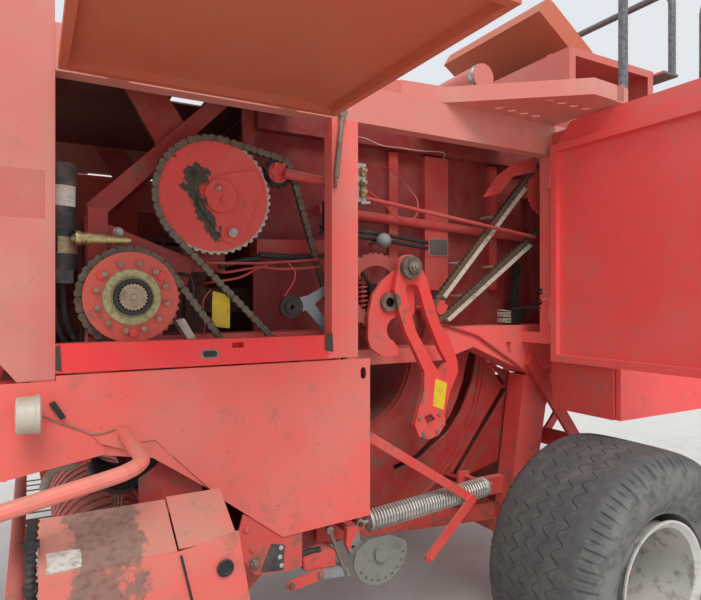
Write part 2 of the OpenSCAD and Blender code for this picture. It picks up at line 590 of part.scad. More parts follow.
// ---- panels ----
module lower_panel(s) side(s) color("indianred") {
    difference() {
        plate_y([[951, sill_z - 6], [951, 747], [1300, 734], [1521, 905], [1724, 1118], [1881, 1119],
            [2017, 1280], [1997, 1320], [1997, sill_z - 6]],
            side_y - skin, side_y);
        // oblong hole near the upper rear corner
        plate_y([[974, 1300], [986, 1300], [992, 1290], [992, 1268], [986, 1258], [974, 1258],
            [968, 1268], [968, 1290]], side_y - skin - 1, side_y + 1);
    }
    // folded edges
    for (z = [[752, 1000], [1085, sill_z - 6]]) box(951, 955, side_y - 34, side_y - skin, z[0], z[1]);
    plate_y([[951, 751], [951, 747], [1300, 734], [1300, 738]], side_y - 34, side_y - skin);
    plate_y([[1300, 738], [1300, 734], [1521, 905], [1518, 908]], side_y - 34, side_y - skin);
    plate_y([[1518, 908], [1521, 905], [1724, 1118], [1721, 1121]], side_y - 34, side_y - skin);
}
module front_panel(s) side(s) color("indianred") {
    plate_y([[bay_front, 1324], [2094, 1321], [2134, 1373], [2600, 1500], [nose_x, 1700],
        [nose_x, beam_top], [bay_front, beam_top]],
        side_y - skin, side_y);
    // folded lower edge and the edge strip beside the bay
    plate_y([[2134, 1377], [2134, 1373], [2600, 1500], [2600, 1504]], side_y - 34, side_y - skin);
    box(bay_front, bay_front + 5, side_y, side_y + 3, 1340, beam_top - 4);
}
module nose_cover() color("indianred") difference() {
    plate_y([[bay_front, beam_top], [nose_x, beam_top], [nose_x, 1700], [nose_x + skin, 1700],
        [nose_x + skin, beam_top + 40],
        [2480, 2480], [bay_front, 2480]], -side_y, side_y);
    plate_y([[bay_front - 1, beam_top - 1], [nose_x - 1, beam_top - 1], [nose_x - 1, beam_top + 38],
        [2479, 2480 - skin], [bay_front - 1, 2480 - skin]],
        -side_y + skin, side_y - skin);
}
module guard_tubes() color("indianred") for (s = [-1, 1]) side(s) {
    sweep(rounded([[1815, side_y + 6, 1152], [1815, 1120, 1152], [2380, 1180, 1060], [2380, 600, 1100],
        [cross_x1, 600, 1100]], 90), 38);
    plate_y([[1905, 1160], [1882, 1128], [1760, 1080], [1776, 1145], [1837, 1172]], side_y, side_y + 6);
}

// ---- axle and wheels ----
module axle() color("firebrick") {
    box(-75, 75, -690, 690, 415, 565);
    for (s = [-1, 1]) side(s) {
        plate_y([[75, 565], [-75, 565], [-200, rail_z0], [-98, rail_z0], [-58, rail_z0 - 20],
            [-18, rail_z0 - 20]], wall_y + 28, rail_y);
        // side plate from the axle forward below the trip spring
        plate_y([[75, 560], [75, 480], [1040, 560], [1040, 640]], wall_y + 16, wall_y + 28);
        disc_y(0, tyre_r, spindle_d / 2, 690, tyre_y + 24);
        // lower side bar with the rear anchor of the trip spring
        box(30, 345, wall_y + 28, wall_y + 68, 620, 700);
        if (s > 0) {
            box(280, 345, wall_y + 68, wall_y + 80, 660, 760);
            disc_y(spring_b[0], spring_b[1], 10, wall_y + 80, spring_y + 15);
        }
    }
}
module rim(s) side(s) color("wheat") translate([0, tyre_y, tyre_r]) rotate([90, 0, 0]) {
    // outboard is -z here; barrel with two flanges, centre dished inboard and hub in one turned profile
    b = spindle_d / 2 + gap;
    rotate_extrude($fn = 96) polygon([[b, 90], [100, 90], [100, 64], [rim_r - 66, 64],
        [rim_r - 8, 110], [rim_r - 8, 200], [rim_r + 14, 216], [rim_r + 22, 216], [rim_r + 22, 208],
        [rim_r, 200], [rim_r, -200], [rim_r + 22, -208], [rim_r + 22, -216], [rim_r + 14, -216],
        [rim_r - 8, -200], [rim_r - 8, 96], [rim_r - 60, 52], [62, 52], [62, -30], [b, -30]]);
}
module tyre(s) side(s) color([0.15, 0.15, 0.16]) translate([0, tyre_y, tyre_r]) rotate([90, 0, 0]) {
    h = tyre_w / 2;
    rotate_extrude($fn = 96) polygon([[rim_r + gap, -200], [rim_r + 20, -203], [rim_r + 60, -h + 20],
        [rim_r + 130, -h], [tyre_r - 60, -h + 4],
        [tyre_r - 24, -h + 16], [tyre_r - 4, -h + 50], [tyre_r, -h + 90], [tyre_r, h - 90],
            [tyre_r - 4, h - 50], [tyre_r - 24, h - 16],
        [tyre_r - 60, h - 4], [rim_r + 130, h], [rim_r + 60, h - 20], [rim_r + 20, 203],
            [rim_r + gap, 200]]);
}

// ---- twine boxes ----
module twine_box(s) side(s) color("firebrick") difference() {
    union() {
        box(-twine_len - 5, -14, side_y, twine_y, twine_z, beam_z + 100);
        for (z = [1200, 2000]) {
            box(box_hinge[0] - 5, box_hinge[0] + 5, twine_y, box_hinge[1], z, z + 60);
            rod([box_hinge[0], box_hinge[1], z], [box_hinge[0], box_hinge[1], z + 60], knuckle_d);
        }
    }
    box(-twine_len + 20, -34, side_y + 20, twine_y + 1, twine_z + 20, beam_z + 80);
}
module twine_door(s) side(s) color("indianred") {
    box(box_hinge[0] + 14, -25, twine_y + clear, twine_y + clear + 20, twine_z, beam_z + 90);
    for (z = [1200, 2000]) {
        box(box_hinge[0], box_hinge[0] + 20, box_hinge[1] - 4, box_hinge[1] + 4, z + 60.5, z + 110);
        rod([box_hinge[0], box_hinge[1], z + 60.5], [box_hinge[0], box_hinge[1], z + 110], knuckle_d);
    }
}

// ---- top ----
// outline of a step plate: inner front corner first, then round its outer edge
tread = [[800, 668], [800, 690], [596, 715], [155, 1070], [11, 1061], [-80, 1061], [-80, 1020],
    [-24, 1020], [-30, 813], [-30, 668]];
module platform() color("firebrick") {
    for (s = [-1, 1]) side(s) {
        difference() {
            translate([0, 0, beam_top]) linear_extrude(5) polygon(tread);
            // two rows of slots [x, y of the first]
            for (r = [[362, 780], [252, 947]]) for (i = [0 : 3])
                translate([r[0] - 71.5 * i - 15, r[1], beam_top - 1]) rotate([0, 0, -40]) cube([34, 12, 8]);
        }
        // folded outer edge, one strip round the three outer sides
        out = [for (i = [1 : 4])
            let (u = unit(tread[min(i + 1, 4)] - tread[max(i - 1, 1)]))
            tread[i] - [-u[1], u[0]] * 4];
        back = [for (i = [4 : -1 : 1]) tread[i]];
        translate([0, 0, beam_top]) linear_extrude(64) polygon(concat(out, back));
        box(-46, -38, 1022, 1061, beam_top, beam_top + 80);
        // handrail from the step to the top of the twine box
        sweep(rounded([[-60, 1041, beam_top + 4], [-60, 1041, 3150], [-720, 1041, 3150],
            [-720, 990, 2900], [-720, 990, beam_z + 100]], 60), 37, [0, 1, 0]);
    }
    box(100, 560, -post_y, post_y, beam_top, beam_top + 6);
}
module top_box() color("indianred") {
    w = 698; top = 2740; rear = -780; front = -148;
    for (x = [rear, front - 12]) box(x, x + 12, -w, w, beam_top, top);
    for (s = [-1, 1]) side(s) {
        // inner wall, roof strip and the frame of the open side
        box(rear + 12, front - 12, 405, 411, beam_top, top - 6);
        box(rear + 12, front - 12, 405, w, top - 6, top);
        box(rear + 12, front - 12, w - 6, w, top - 36, top - 6);
        box(rear + 12, front - 12, w - 6, w, beam_top, beam_top + 40);
        for (x = [rear + 12, front - 42]) box(x, x + 30, w - 6, w, beam_top + 40, top - 36);
        // foot of the cross rail
        box(rear - 122, rear, 500, 757, 2716, 2728);
    }
    sweep(rounded([[rear - 100, 737, 2726], [rear - 100, 737, 3174], [rear - 100, -737, 3174],
        [rear - 100, -737, 2726]], 70), 37, [1, 0, 0]);
    // knuckles of the knotter hood
    for (y = [-399, 339]) {
        box(hoodk[0] - 6, -770, y, y + 60, 2700, 2754);
        rod([hoodk[0], y, hoodk[1]], [hoodk[0], y + 60, hoodk[1]], 24);
    }
    // document tube on its bracket
    rod([200, 120, 2600], [200, 500, 2600], 120);
    rod([200, 470, 2600], [200, 484, 2600], 128);
    box(180, 220, 200, 240, beam_top + 6, 2545);
    box(180, 220, 400, 440, beam_top + 6, 2545);
    // toothed twine tension wheel on the box
    shape_y(420, 440) translate([-330, 2794]) polygon(teeth(44, 7, 18));
    box(-340, -320, 424, 436, top - 1, 2780);
}
module knotters() color("dimgray") {
    rod([-350, -405, 2560], [-350, 405, 2560], 50);
    for (y = [-300 : 120 : 300]) translate([-350, y, 2560]) {
        rotate([90, 0, 0]) cylinder(r = 120, h = 24, center = true);
        rotate([90, 0, 0]) cylinder(r = 60, h = 60, center = true);
        translate([-60, -20, -258]) cube([80, 40, 160]);
        translate([0, -34, -250]) cube([90, 14, 250]);
        translate([60, -34, -258]) cube([110, 60, 30]);
    }
}
module knotter_hood() color("firebrick") {
    w = 400; t = 5;
    translate([hoodk[0], 0, hoodk[1]]) rotate([0, -33, 0]) {
        // curved shell with its end plates, open below
        difference() {
            plate_y([[14, -6], [14, 6], [40, 46], [90, 70], [200, 82], [560, 80], [590, 72], [604, 54],
                [606, 30], [606, -36], [100, -36], [40, -6]], -w, w);
            plate_y([[14 + t, -40], [14 + t, 4], [44, 42], [92, 65], [200, 77], [559, 75], [587, 68],
                [599, 52], [601, 30], [601, -40]], -w + t, w - t);
        }
        // liner that closes the hollow from below
        box(100, 602, -w + 1, w - 1, -34, -30);
        for (y = [-338.5, 280]) {
            box(0, 20, y, y + 58.5, -4, 5);
            rod([0, y, 0], [0, y + 58.5, 0], 24);
        }
    }
}
module needle_yoke() color("firebrick") {
    p = [-60, 1250]; r = 560;
    q = p + [r * cos(232), r * sin(232)];
    for (s = [-1, 1]) side(s) {
        plate_y([p + [-45, -20], p + [20, 45], p + [45, -10], q + [23, -33], q + [-27, -3]],
            rail_y + 6, rail_y + 26);
        disc_y(p[0], p[1], 40, rail_y, rail_y + 6);
    }
    rod([q[0], -rail_y - 6, q[1]], [q[0], rail_y + 6, q[1]], 90);
    for (y = [-300 : 120 : 300])
        plate_y(concat(arc(p, r - 22, 186, 232, 12), arc(p, r + 22, 232, 184, 12)), y - 8, y + 8);
}
module plunger() color("firebrick") {
    difference() {
        box(1000, 1250, -bale_hw + 4, bale_hw - 4, floor_z, roof_z - 4);
        for (y = [-300 : 120 : 300]) box(999, 1120, y - 15, y + 15, floor_z - 1, roof_z);
    }
    for (s = [-1, 1]) side(s) box(1250, 1450, 180, 220, 1500, 1600);
}
module density_frame() color("firebrick") {
    for (s = [-1, 1]) side(s) {
        box(-1950, -1750, wall_y + 50, rail_y, rail_z1, 2440);
        translate([-2100, wall_y + 90, rail_z1]) cylinder(d = 72, h = 800);
        translate([-2100, wall_y + 90, rail_z1 + 60]) cylinder(d = 76, h = 420);
        box(-2150, -2050, wall_y + 50, rail_y, 2230, 2300);
    }
    box(-1950, -1750, -rail_y, rail_y, 2440, 2560);
}
module bale_chute() color("firebrick") {
    translate([-lip_x, 0, lip_z]) rotate([0, -10, 0]) mirror([1, 0, 0]) {
        for (s = [-1, 1]) side(s) difference() {
            box(-22, 580, 330, 370, -22, 22);
            translate([0, 380, 0]) rotate([90, 0, 0]) cylinder(d = 30 + 2 * gap, h = 60);
        }
        for (x = [120 : 150 : 570]) rod([x, -330, 0], [x, 330, 0], 60);
    }
}
module lamps() color("wheat") {
    for (s = [-1, 1]) side(s) {
        disc_x(790, 1241, 50, 2040, 2085);
        box(2040, 2060, side_y - skin, 745, 1215, 1255);
    }
}

// ---- driveline ----
module flywheel() color("dimgray") {
    difference() {
        disc_x(0, shaft_z, flywheel_r, 2250, 2330);
        difference() {
            disc_x(0, shaft_z, flywheel_r - 50, 2249, 2272);
            disc_x(0, shaft_z, 85, 2248, 2273);
        }
        difference() {
            disc_x(0, shaft_z, flywheel_r - 50, 2308, 2331);
            disc_x(0, shaft_z, 85, 2307, 2332);
        }
        for (k = [0 : 5]) disc_x(175 * cos(60 * k), shaft_z + 175 * sin(60 * k), 42, 2240, 2340);
    }
    disc_x(0, shaft_z, 40, 1980 + gap, 2420);
}
module pto_stub() color("silver") {
    disc_x(0, stub_z, stub_r - 10, 3705, 3788);
    disc_x(0, stub_z, stub_r, 3788, 3950);
}
module drive_guard() color([0.1, 0.1, 0.1]) difference() {
    rod([2460, 0, 1440], [3760, 0, 890], 130);
    box(3700, 3900, -200, 200, 700, 1100);
}

// ---- pickup ----
band_n = floor(pickup_hw / tine_pitch);
module pickup_frame() color("firebrick") {
    for (s = [-1, 1]) side(s) {
        plate_y([[2045, 929], [2045, 760], [1990, 420], [1900, 330], [1620, 290], [1530, 290],
            [1400, 330], [1400, 480], [1553, 757], [1585, 947], [1740, 924]],
            pickup_hw, pickup_hw + 6);
        // sloping top of the side shield, in two plates [z at the edge, rear, front]
        for (t = [[925, 1742, 2045], [931, 1590, 1738]])
            plate_x([[pickup_hw + 6, t[0]], [pickup_hw + 6, t[0] + 4], [pickup_hw - 150, t[0] + 84],
                [pickup_hw - 150, t[0] + 80]], t[1], t[2]);
        plate_x([[pickup_hw, 880], [pickup_hw, 925], [pickup_hw - 150, 1004], [pickup_hw - 150, 960]],
            2041, 2045);
        disc_y(guard_pin[0], guard_pin[1], 12, pickup_hw - 24, pickup_hw);
        disc_y(gauge[0], gauge[1], 15, pickup_hw + 6, pickup_hw + 136);
        difference() {
            plate_y([[pivot_x - 40, pivot_z + 30], [pivot_x + 40, pivot_z + 30], [1455, 430], [1455, 345],
                [1440, 345], [pivot_x - 40, pivot_z - 40]], 430, 446);
            disc_y(pivot_x, pivot_z, 20 + gap, 429, 447);
        }
    }
    // cross beam behind the reel
    box(1400, 1455, -pickup_hw, pickup_hw, 330, 430);
    // bands round the reel, each on its own foot from the cross beam
    for (i = [-band_n + 1 : band_n - 1]) let (y = i * tine_pitch) {
        translate([reel_x, y + 30, reel_z]) rotate([90, 0, 0]) rotate([0, 0, -60])
            rotate_extrude(angle = 270, $fn = 96) translate([band_r - 5, 0]) square([5, 60]);
        plate_y([[1450, 400], [1450, 370], [1622, 440], [1611, 476]], y - 30, y + 30);
    }
}
module pickup_reel() color("gray") {
    rod([reel_x, -pickup_hw + gap, reel_z], [reel_x, pickup_hw - gap, reel_z], 70);
    for (b = [0 : tine_bars - 1]) translate([reel_x, 0, reel_z]) rotate([0, b * 360 / tine_bars, 0]) {
        translate([0, 0, 150]) rotate([90, 0, 0]) cylinder(d = 30, h = 2 * pickup_hw - 60, center = true);
        for (s = [-1, 0, 1]) translate([-8, s * (pickup_hw - 60) - 4, 0]) cube([16, 8, 150]);
        for (i = [-band_n : band_n - 1]) translate([0, (i + 0.5) * tine_pitch, 150])
            cylinder(d = 7, h = tine_r - 150, $fn = 16);
    }
}
module windguard() color("firebrick") {
    rod([2100, -pickup_hw + 8, 700], [2100, pickup_hw - 8, 700], 48);
    for (s = [-1, 1]) side(s) difference() {
        plate_y([[2085, 682], [2115, 718], [guard_pin[0], guard_pin[1] + 26],
            [guard_pin[0] - 26, guard_pin[1]], [guard_pin[0], guard_pin[1] - 26]],
            pickup_hw - 20, pickup_hw - 8);
        disc_y(guard_pin[0], guard_pin[1], 12 + gap, pickup_hw - 21, pickup_hw - 7);
    }
}
module gauge_wheel(s) side(s) color([0.15, 0.15, 0.16]) difference() {
    disc_y(gauge[0], gauge[1], gauge_r, pickup_hw + 30, pickup_hw + 130);
    disc_y(gauge[0], gauge[1], 15 + gap, pickup_hw + 20, pickup_hw + 140);
    // dished sides round the hub
    for (y = [pickup_hw + 29, pickup_hw + 108]) difference() {
        disc_y(gauge[0], gauge[1], gauge_r - 75, y, y + 23);
        disc_y(gauge[0], gauge[1], 45, y - 1, y + 24);
    }
}

// ---- covers ----
module hood(s, fold = 0) side(s) color("firebrick") translate([0, hinge_y, hood_z]) rotate([-fold, 0, 0]) {
    h = cover_d / 2;
    difference() {
        box(post_x + post_w + 6, bay_front - 6, 14, hood_len, -h, h);
        box(post_x + post_w + 30, bay_front - 30, 40, hood_len - 24, -h - 1, h - skin);
    }
    for (x = [1250, 1800]) {
        rod([x + 60.5, 0, 0], [x + 110, 0, 0], knuckle_d);
        box(x + 60.5, x + 110, 0, 20, -4, 4);
    }
}
module door(s, fold = 0) side(s) color("firebrick") translate([door_x, hinge_y, 0]) rotate([0, 0, -fold]) {
    h = cover_d / 2;
    difference() {
        union() {
            box(-h, h, 14, door_len, 1278, 2237);
            plate_x([[14, 2230], [100, 2328], [door_len, 2328], [door_len, 2230]], -h, -h + skin);
        }
        box(-h + skin, h + 1, 44, door_len - 30, 1310, 2205);
    }
    for (z = [1450, 2050]) {
        rod([0, 0, z + 60.5], [0, 0, z + 110], knuckle_d);
        box(-4, 4, 0, 20, z + 60.5, z + 110);
    }
}

at_hitch() tongue();
at_hitch() hitch_eye();
at_hitch() jack_leg();
at_hitch() side_frame(1);  // side_frame_left
at_hitch() side_frame(-1);  // side_frame_right
at_hitch() chamber_wall(1);  // chamber_wall_left
at_hitch() chamber_wall(-1);  // chamber_wall_right
at_hitch() chamber_floor();
at_hitch() chamber_roof();
at_hitch() stuffer_chute();
at_hitch() stuffer_crank();
at_hitch() packer();
at_hitch() clutch_hub();
at_hitch() sprockets();
at_hitch() drive_chains();
at_hitch() idler_bracket();
at_hitch() gearbox();
at_hitch() braces();
at_hitch() grease_pump();
at_hitch() chain_guides();
at_hitch() bay_rods();
at_hitch() trip_spring();
at_hitch() trip_links();
at_hitch() lower_panel(1);  // lower_panel_left
at_hitch() lower_panel(-1);  // lower_panel_right
at_hitch() front_panel(1);  // front_panel_left
at_hitch() front_panel(-1);  // front_panel_right
at_hitch() nose_cover();
at_hitch() guard_tubes();
at_hitch() axle();
at_hitch() rim(1);  // rim_left
at_hitch() tyre(1);  // tyre_left
at_hitch() rim(-1);  // rim_right
at_hitch() tyre(-1);  // tyre_right
at_hitch() twine_box(1);  // twine_box_left
at_hitch() twine_box(-1);  // twine_box_right
at_hitch() twine_door(1);  // twine_door_left
at_hitch() twine_door(-1);  // twine_door_right
at_hitch() platform();
at_hitch() top_box();
at_hitch() knotters();
at_hitch() knotter_hood();
at_hitch() needle_yoke();
at_hitch() plunger();
at_hitch() density_frame();
at_hitch() bale_chute();
at_hitch() lamps();
at_hitch() flywheel();
at_hitch() pto_stub();
at_hitch() drive_guard();
at_hitch() pickup_frame();
at_hitch() pickup_reel();
at_hitch() windguard();
at_hitch() gauge_wheel(1);  // gauge_wheel_left
at_hitch() gauge_wheel(-1);  // gauge_wheel_right
at_hitch() hood(1);  // hood_left
at_hitch() hood(-1, 90);  // hood_right
at_hitch() door(1);  // door_left
at_hitch() door(-1, 90);  // door_right
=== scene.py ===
import bpy, bmesh, math
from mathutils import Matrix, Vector


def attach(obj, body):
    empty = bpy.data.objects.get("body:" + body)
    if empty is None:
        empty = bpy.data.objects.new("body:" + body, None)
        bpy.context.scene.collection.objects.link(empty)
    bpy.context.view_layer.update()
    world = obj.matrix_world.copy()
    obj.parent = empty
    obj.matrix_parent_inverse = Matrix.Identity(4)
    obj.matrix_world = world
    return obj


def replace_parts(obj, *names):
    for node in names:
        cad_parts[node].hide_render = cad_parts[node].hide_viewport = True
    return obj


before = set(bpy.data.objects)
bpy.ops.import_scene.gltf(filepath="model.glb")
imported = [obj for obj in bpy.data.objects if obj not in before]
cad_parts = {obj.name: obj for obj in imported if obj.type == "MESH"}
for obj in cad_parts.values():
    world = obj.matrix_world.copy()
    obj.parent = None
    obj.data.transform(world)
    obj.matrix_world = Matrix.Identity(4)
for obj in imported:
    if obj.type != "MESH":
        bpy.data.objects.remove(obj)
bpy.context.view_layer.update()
scene = bpy.context.scene
scene.view_settings.view_transform = "Standard"

# ---------------- places
# Places are written in millimetres as in the part's source: X forward from the axle,
# Y to the left, Z up from the ground.  The frame's origin is the bore of the hitch eye.
HITCH_X, HITCH_Z = 4600, 480


def at(x, y, z):
    return Vector(((x - HITCH_X) / 1000, y / 1000, (z - HITCH_Z) / 1000))


# ---------------- camera
# matched to the photograph: level, TURN degrees off the machine's rearward axis
LENS, SENSOR, EYE, TURN = 29.63, 36, (2060, 2565, 1550), 61
cam = bpy.data.cameras.new("camera")
cam.lens, cam.sensor_width = LENS, SENSOR
cam_ob = bpy.data.objects.new("camera", cam)
scene.collection.objects.link(cam_ob)
cam_ob.location = at(*EYE)
turn = math.radians(TURN)
look = Vector((-math.cos(turn), -math.sin(turn), 0))
cam_ob.rotation_euler = look.to_track_quat("-Z", "Y").to_euler()
scene.camera = cam_ob

# ---------------- materials
RED = (0.72, 0.068, 0.055)
FADED = (0.76, 0.25, 0.20)
PANEL = (0.78, 0.145, 0.115)
# the two dark reds below are the machine's red paint darkened as painted shade for the bays under the covers
SHADED_RED = (0.38, 0.032, 0.028)
DARK_SHADED_RED = (0.25, 0.022, 0.023)
UNDER = (0.60, 0.140, 0.072)
DUST = (0.36, 0.28, 0.20)
SOIL = (0.085, 0.058, 0.036)
GREASE = (0.020, 0.014, 0.010)
RUST = (0.20, 0.075, 0.030)
STEEL = (0.50, 0.49, 0.47)
CREAM = (0.60, 0.55, 0.45)
BLACK = (0.014, 0.014, 0.014)
YELLOW = (0.80, 0.56, 0.02)


class Shader:
    """A node material, built from the object's own coordinates in metres."""

    def __init__(self, name):
        self.mat = bpy.data.materials.new(name)
        self.mat.use_nodes = True
        self.tree = self.mat.node_tree
        self.bsdf = self.tree.nodes["Principled BSDF"]
        self.coord = self.tree.nodes.new("ShaderNodeTexCoord")
        self.here = self.coord.outputs["Object"]
        self.bumps = None

    def put(self, socket, value):
        if isinstance(value, bpy.types.NodeSocket):
            self.tree.links.new(value, socket)
        elif isinstance(value, tuple) and len(value) == 3 and socket.type == "RGBA":
            socket.default_value = (*value, 1)
        else:
            socket.default_value = value

    def math(self, op, a, b=0.0, c=0.0, clamp=False):
        n = self.tree.nodes.new("ShaderNodeMath")
        n.operation, n.use_clamp = op, clamp
        for k, v in enumerate((a, b, c)):
            self.put(n.inputs[k], v)
        return n.outputs[0]

    def mul(self, a, b):
        return self.math("MULTIPLY", a, b)

    def vector(self, op, a, b=(0.0, 0.0, 0.0)):
        n = self.tree.nodes.new("ShaderNodeVectorMath")
        n.operation = op
        self.put(n.inputs[0], a)
        self.put(n.inputs[1], b)
        return n.outputs["Value"] if op in ("LENGTH", "DOT_PRODUCT") else n.outputs[0]

    def parts(self, v):
        n = self.tree.nodes.new("ShaderNodeSeparateXYZ")
        self.put(n.inputs[0], v)
        return n.outputs

    def noise(self, scale, detail=4.0, rough=0.55, stretch=(1, 1, 1), shift=0.0):
        m = self.tree.nodes.new("ShaderNodeMapping")
        self.put(m.inputs["Vector"], self.here)
        m.inputs["Scale"].default_value = stretch
        m.inputs["Location"].default_value = (shift, shift * 0.7, -shift)
        n = self.tree.nodes.new("ShaderNodeTexNoise")
        self.put(n.inputs["Vector"], m.outputs[0])
        for k, v in (("Scale", scale), ("Detail", detail), ("Roughness", rough)):
            n.inputs[k].default_value = v
        return n.outputs["Fac"]

    def step(self, value, low, high):
        n = self.tree.nodes.new("ShaderNodeMapRange")
        n.interpolation_type = "SMOOTHSTEP"
        self.put(n.inputs["Value"], value)
        n.inputs["From Min"].default_value = low
        n.inputs["From Max"].default_value = high
        return n.outputs[0]

    def mix(self, fac, a, b):
        n = self.tree.nodes.new("ShaderNodeMix")
        n.data_type = "RGBA"
        self.put(n.inputs[0], fac)
        self.put(n.inputs[6], a)
        self.put(n.inputs[7], b)
        return n.outputs[2]

    def bump(self, height, depth):
        n = self.tree.nodes.new("ShaderNodeBump")
        n.inputs["Distance"].default_value = depth
        self.put(n.inputs["Height"], height)
        if self.bumps is not None:
            self.put(n.inputs["Normal"], self.bumps)
        self.bumps = n.outputs[0]

    def inside(self, low, high, soft=0.0):
        """1 within a box given by two corners in machine millimetres."""
        a, b = at(*low), at(*high)
        mid, half = (a + b) / 2, (b - a) / 2
        d = self.vector("ABSOLUTE", self.vector("SUBTRACT", self.here, tuple(mid)))
        d = self.parts(self.vector("SUBTRACT", d, tuple(abs(h) for h in half)))
        far = self.math("MAXIMUM", self.math("MAXIMUM", d[0], d[1]), d[2])
        return self.step(self.mul(far, -1.0), -soft, 0.00001)

    def radius(self, x, z):
        """Distance from an axis along Y, in metres."""
        d = self.vector("SUBTRACT", self.here, tuple(at(x, 0, z)))
        return self.vector("LENGTH", self.vector("MULTIPLY", d, (1.0, 0.0, 1.0)))

    def ring(self, x, z, r0, r1):
        r = self.radius(x, z)
        return self.mul(self.math("GREATER_THAN", r, r0 / 1000),
                         self.math("LESS_THAN", r, r1 / 1000))

    def finish(self, color, rough, metal=0.0):
        b = self.bsdf.inputs
        self.put(b["Base Color"], color)
        self.put(b["Roughness"], rough)
        self.put(b["Metallic"], metal)
        if self.bumps is not None:
            self.put(b["Normal"], self.bumps)
        return self.mat


def weather(s, color, dust=0.3, soil=0.3, fade=0.5, chips=0.3, dull=0.42, pale=FADED):
    """Sun fading, soil, dust on upward faces, scratches and chips on a painted face."""
    broad = s.noise(1.3, 3, 0.6)
    fine = s.noise(14, 7, 0.65, shift=3.1)
    grit = s.noise(170, 3, 0.6, shift=1.7)
    streak = s.noise(9, 5, 0.6, stretch=(1, 1, 0.12), shift=5.3)
    up = s.parts(s.coord.outputs["Normal"])[2]
    color = s.mix(s.mul(s.step(broad, 0.40, 0.66), fade), color, pale)
    color = s.mix(s.mul(s.step(streak, 0.48, 0.80), 0.30 * fade), color, pale)
    # soil lies in blotches, thicker low down on the machine
    low = s.step(s.parts(s.here)[2], 1.6, -0.2)
    blotch = s.step(s.math("ADD", fine, s.mul(low, 0.10)), 0.60, 0.74)
    color = s.mix(s.mul(blotch, soil), color, SOIL)
    top = s.step(s.math("ADD", up, s.mul(fine, 0.35)), 0.55, 1.25)
    color = s.mix(s.mul(top, dust), color, DUST)
    film = s.step(s.math("ADD", broad, fine), 0.86, 1.22)
    color = s.mix(s.mul(film, 0.45 * dust), color, DUST)
    # scratches along the machine and small chips down to primer
    line = s.noise(60, 2, 0.5, stretch=(0.10, 1.0, 1.3), shift=9.2)
    nick = s.noise(75, 2, 0.5, shift=4.4)
    scratch = s.mul(s.step(line, 0.71, 0.75), chips * 0.5)
    color = s.mix(scratch, color, pale)
    chip = s.mul(s.step(nick, 0.735, 0.755), chips)
    color = s.mix(chip, color, RUST)
    s.bump(fine, 0.0012)
    s.bump(grit, 0.0005)
    s.bump(s.mul(chip, -1.0), 0.0006)
    rough = s.math("ADD", dull, s.mul(fine, 0.30))
    rough = s.math("ADD", rough, s.mul(top, 0.25 * dust), clamp=True)
    return color, rough


def paint(name, color, parts=(), coats=(), pale=FADED, **how):
    """Painted steel.  coats: (mask maker, colour, faded colour) of other paint below the dirt;
    parts: (mask maker, colour, roughness, metallic) laid over it."""
    s = Shader(name)
    for mask, tint, faded in coats:
        k = mask(s)
        color, pale = s.mix(k, color, tint), s.mix(k, pale, faded)
    c, r = weather(s, color, pale=pale, **how)
    m = 0.0
    for mask, tint, rough, metal in parts:
        k = mask(s)
        blot = s.noise(60, 5, 0.6, shift=2.2)
        shade = s.mix(s.step(blot, 0.42, 0.68), tint, tuple(t * 0.55 for t in tint))
        c = s.mix(k, c, shade)
        r = s.math("ADD", s.mul(k, s.math("SUBTRACT", rough, r)), r)
        m = s.math("ADD", m, s.mul(k, metal), clamp=True)
    return s.finish(c, r, m)


def bare(name, color, rust=0.5, grime=0.5, rough=0.38, metal=0.85, grain=(1, 1, 1)):
    """Bare or plated metal with rust and dirt."""
    s = Shader(name)
    broad = s.noise(6, 6, 0.65)
    fine = s.noise(55, 5, 0.6, stretch=grain, shift=2.0)
    c = s.mix(s.mul(s.step(fine, 0.35, 0.75), 0.6), color, tuple(v * 0.6 for v in color))
    k = s.mul(s.step(broad, 0.52, 0.68), rust)
    c = s.mix(k, c, RUST)
    g = s.mul(s.step(s.noise(19, 6, 0.7, shift=6.0), 0.50, 0.66), grime)
    c = s.mix(g, c, SOIL)
    s.bump(fine, 0.0006)
    s.bump(broad, 0.0010)
    both = s.math("MAXIMUM", k, g)
    r = s.math("ADD", rough, s.mul(both, 0.4), clamp=True)
    return s.finish(c, r, s.mul(s.math("SUBTRACT", 1.0, both), metal))


def plain(name, color, other, rough=0.5, scale=30, metal=0.0):
    """Rubber, plastic, fabric tape and stickers: two tones, fine grain."""
    s = Shader(name)
    n = s.noise(scale, 6, 0.65)
    c = s.mix(s.step(n, 0.45, 0.70), color, other)
    s.bump(s.noise(scale * 7, 3, 0.6, shift=1.0), 0.0004)
    s.bump(n, 0.0006)
    return s.finish(c, s.math("ADD", rough, s.mul(n, 0.25)), metal)


# ---------------- places shared by pieces
CLUTCH = (1782, 1559)
MAIN = (1503, 1911)
RING = (855, 1589)
CRANK = (737, 1680)
DRIVE_Y = 590
AXLE_Y, AXLE_Z = 1045, 490
LEFT = (0, 1, 0)
SIDES = ((1, "left"), (-1, "right"))


def rings(x, z, *bands):
    """Bands (r0, r1, colour, roughness, metallic) round an axis along Y."""
    return [(lambda s, a=b[0], c=b[1]: s.ring(x, z, a, c), b[2], b[3], b[4]) for b in bands]


def zone(low, high, color, rough=0.5, metal=0.0):
    return [(lambda s: s.inside(low, high), color, rough, metal)]


def coat(low, high, color, faded):
    return [(lambda s: s.inside(low, high), color, faded)]


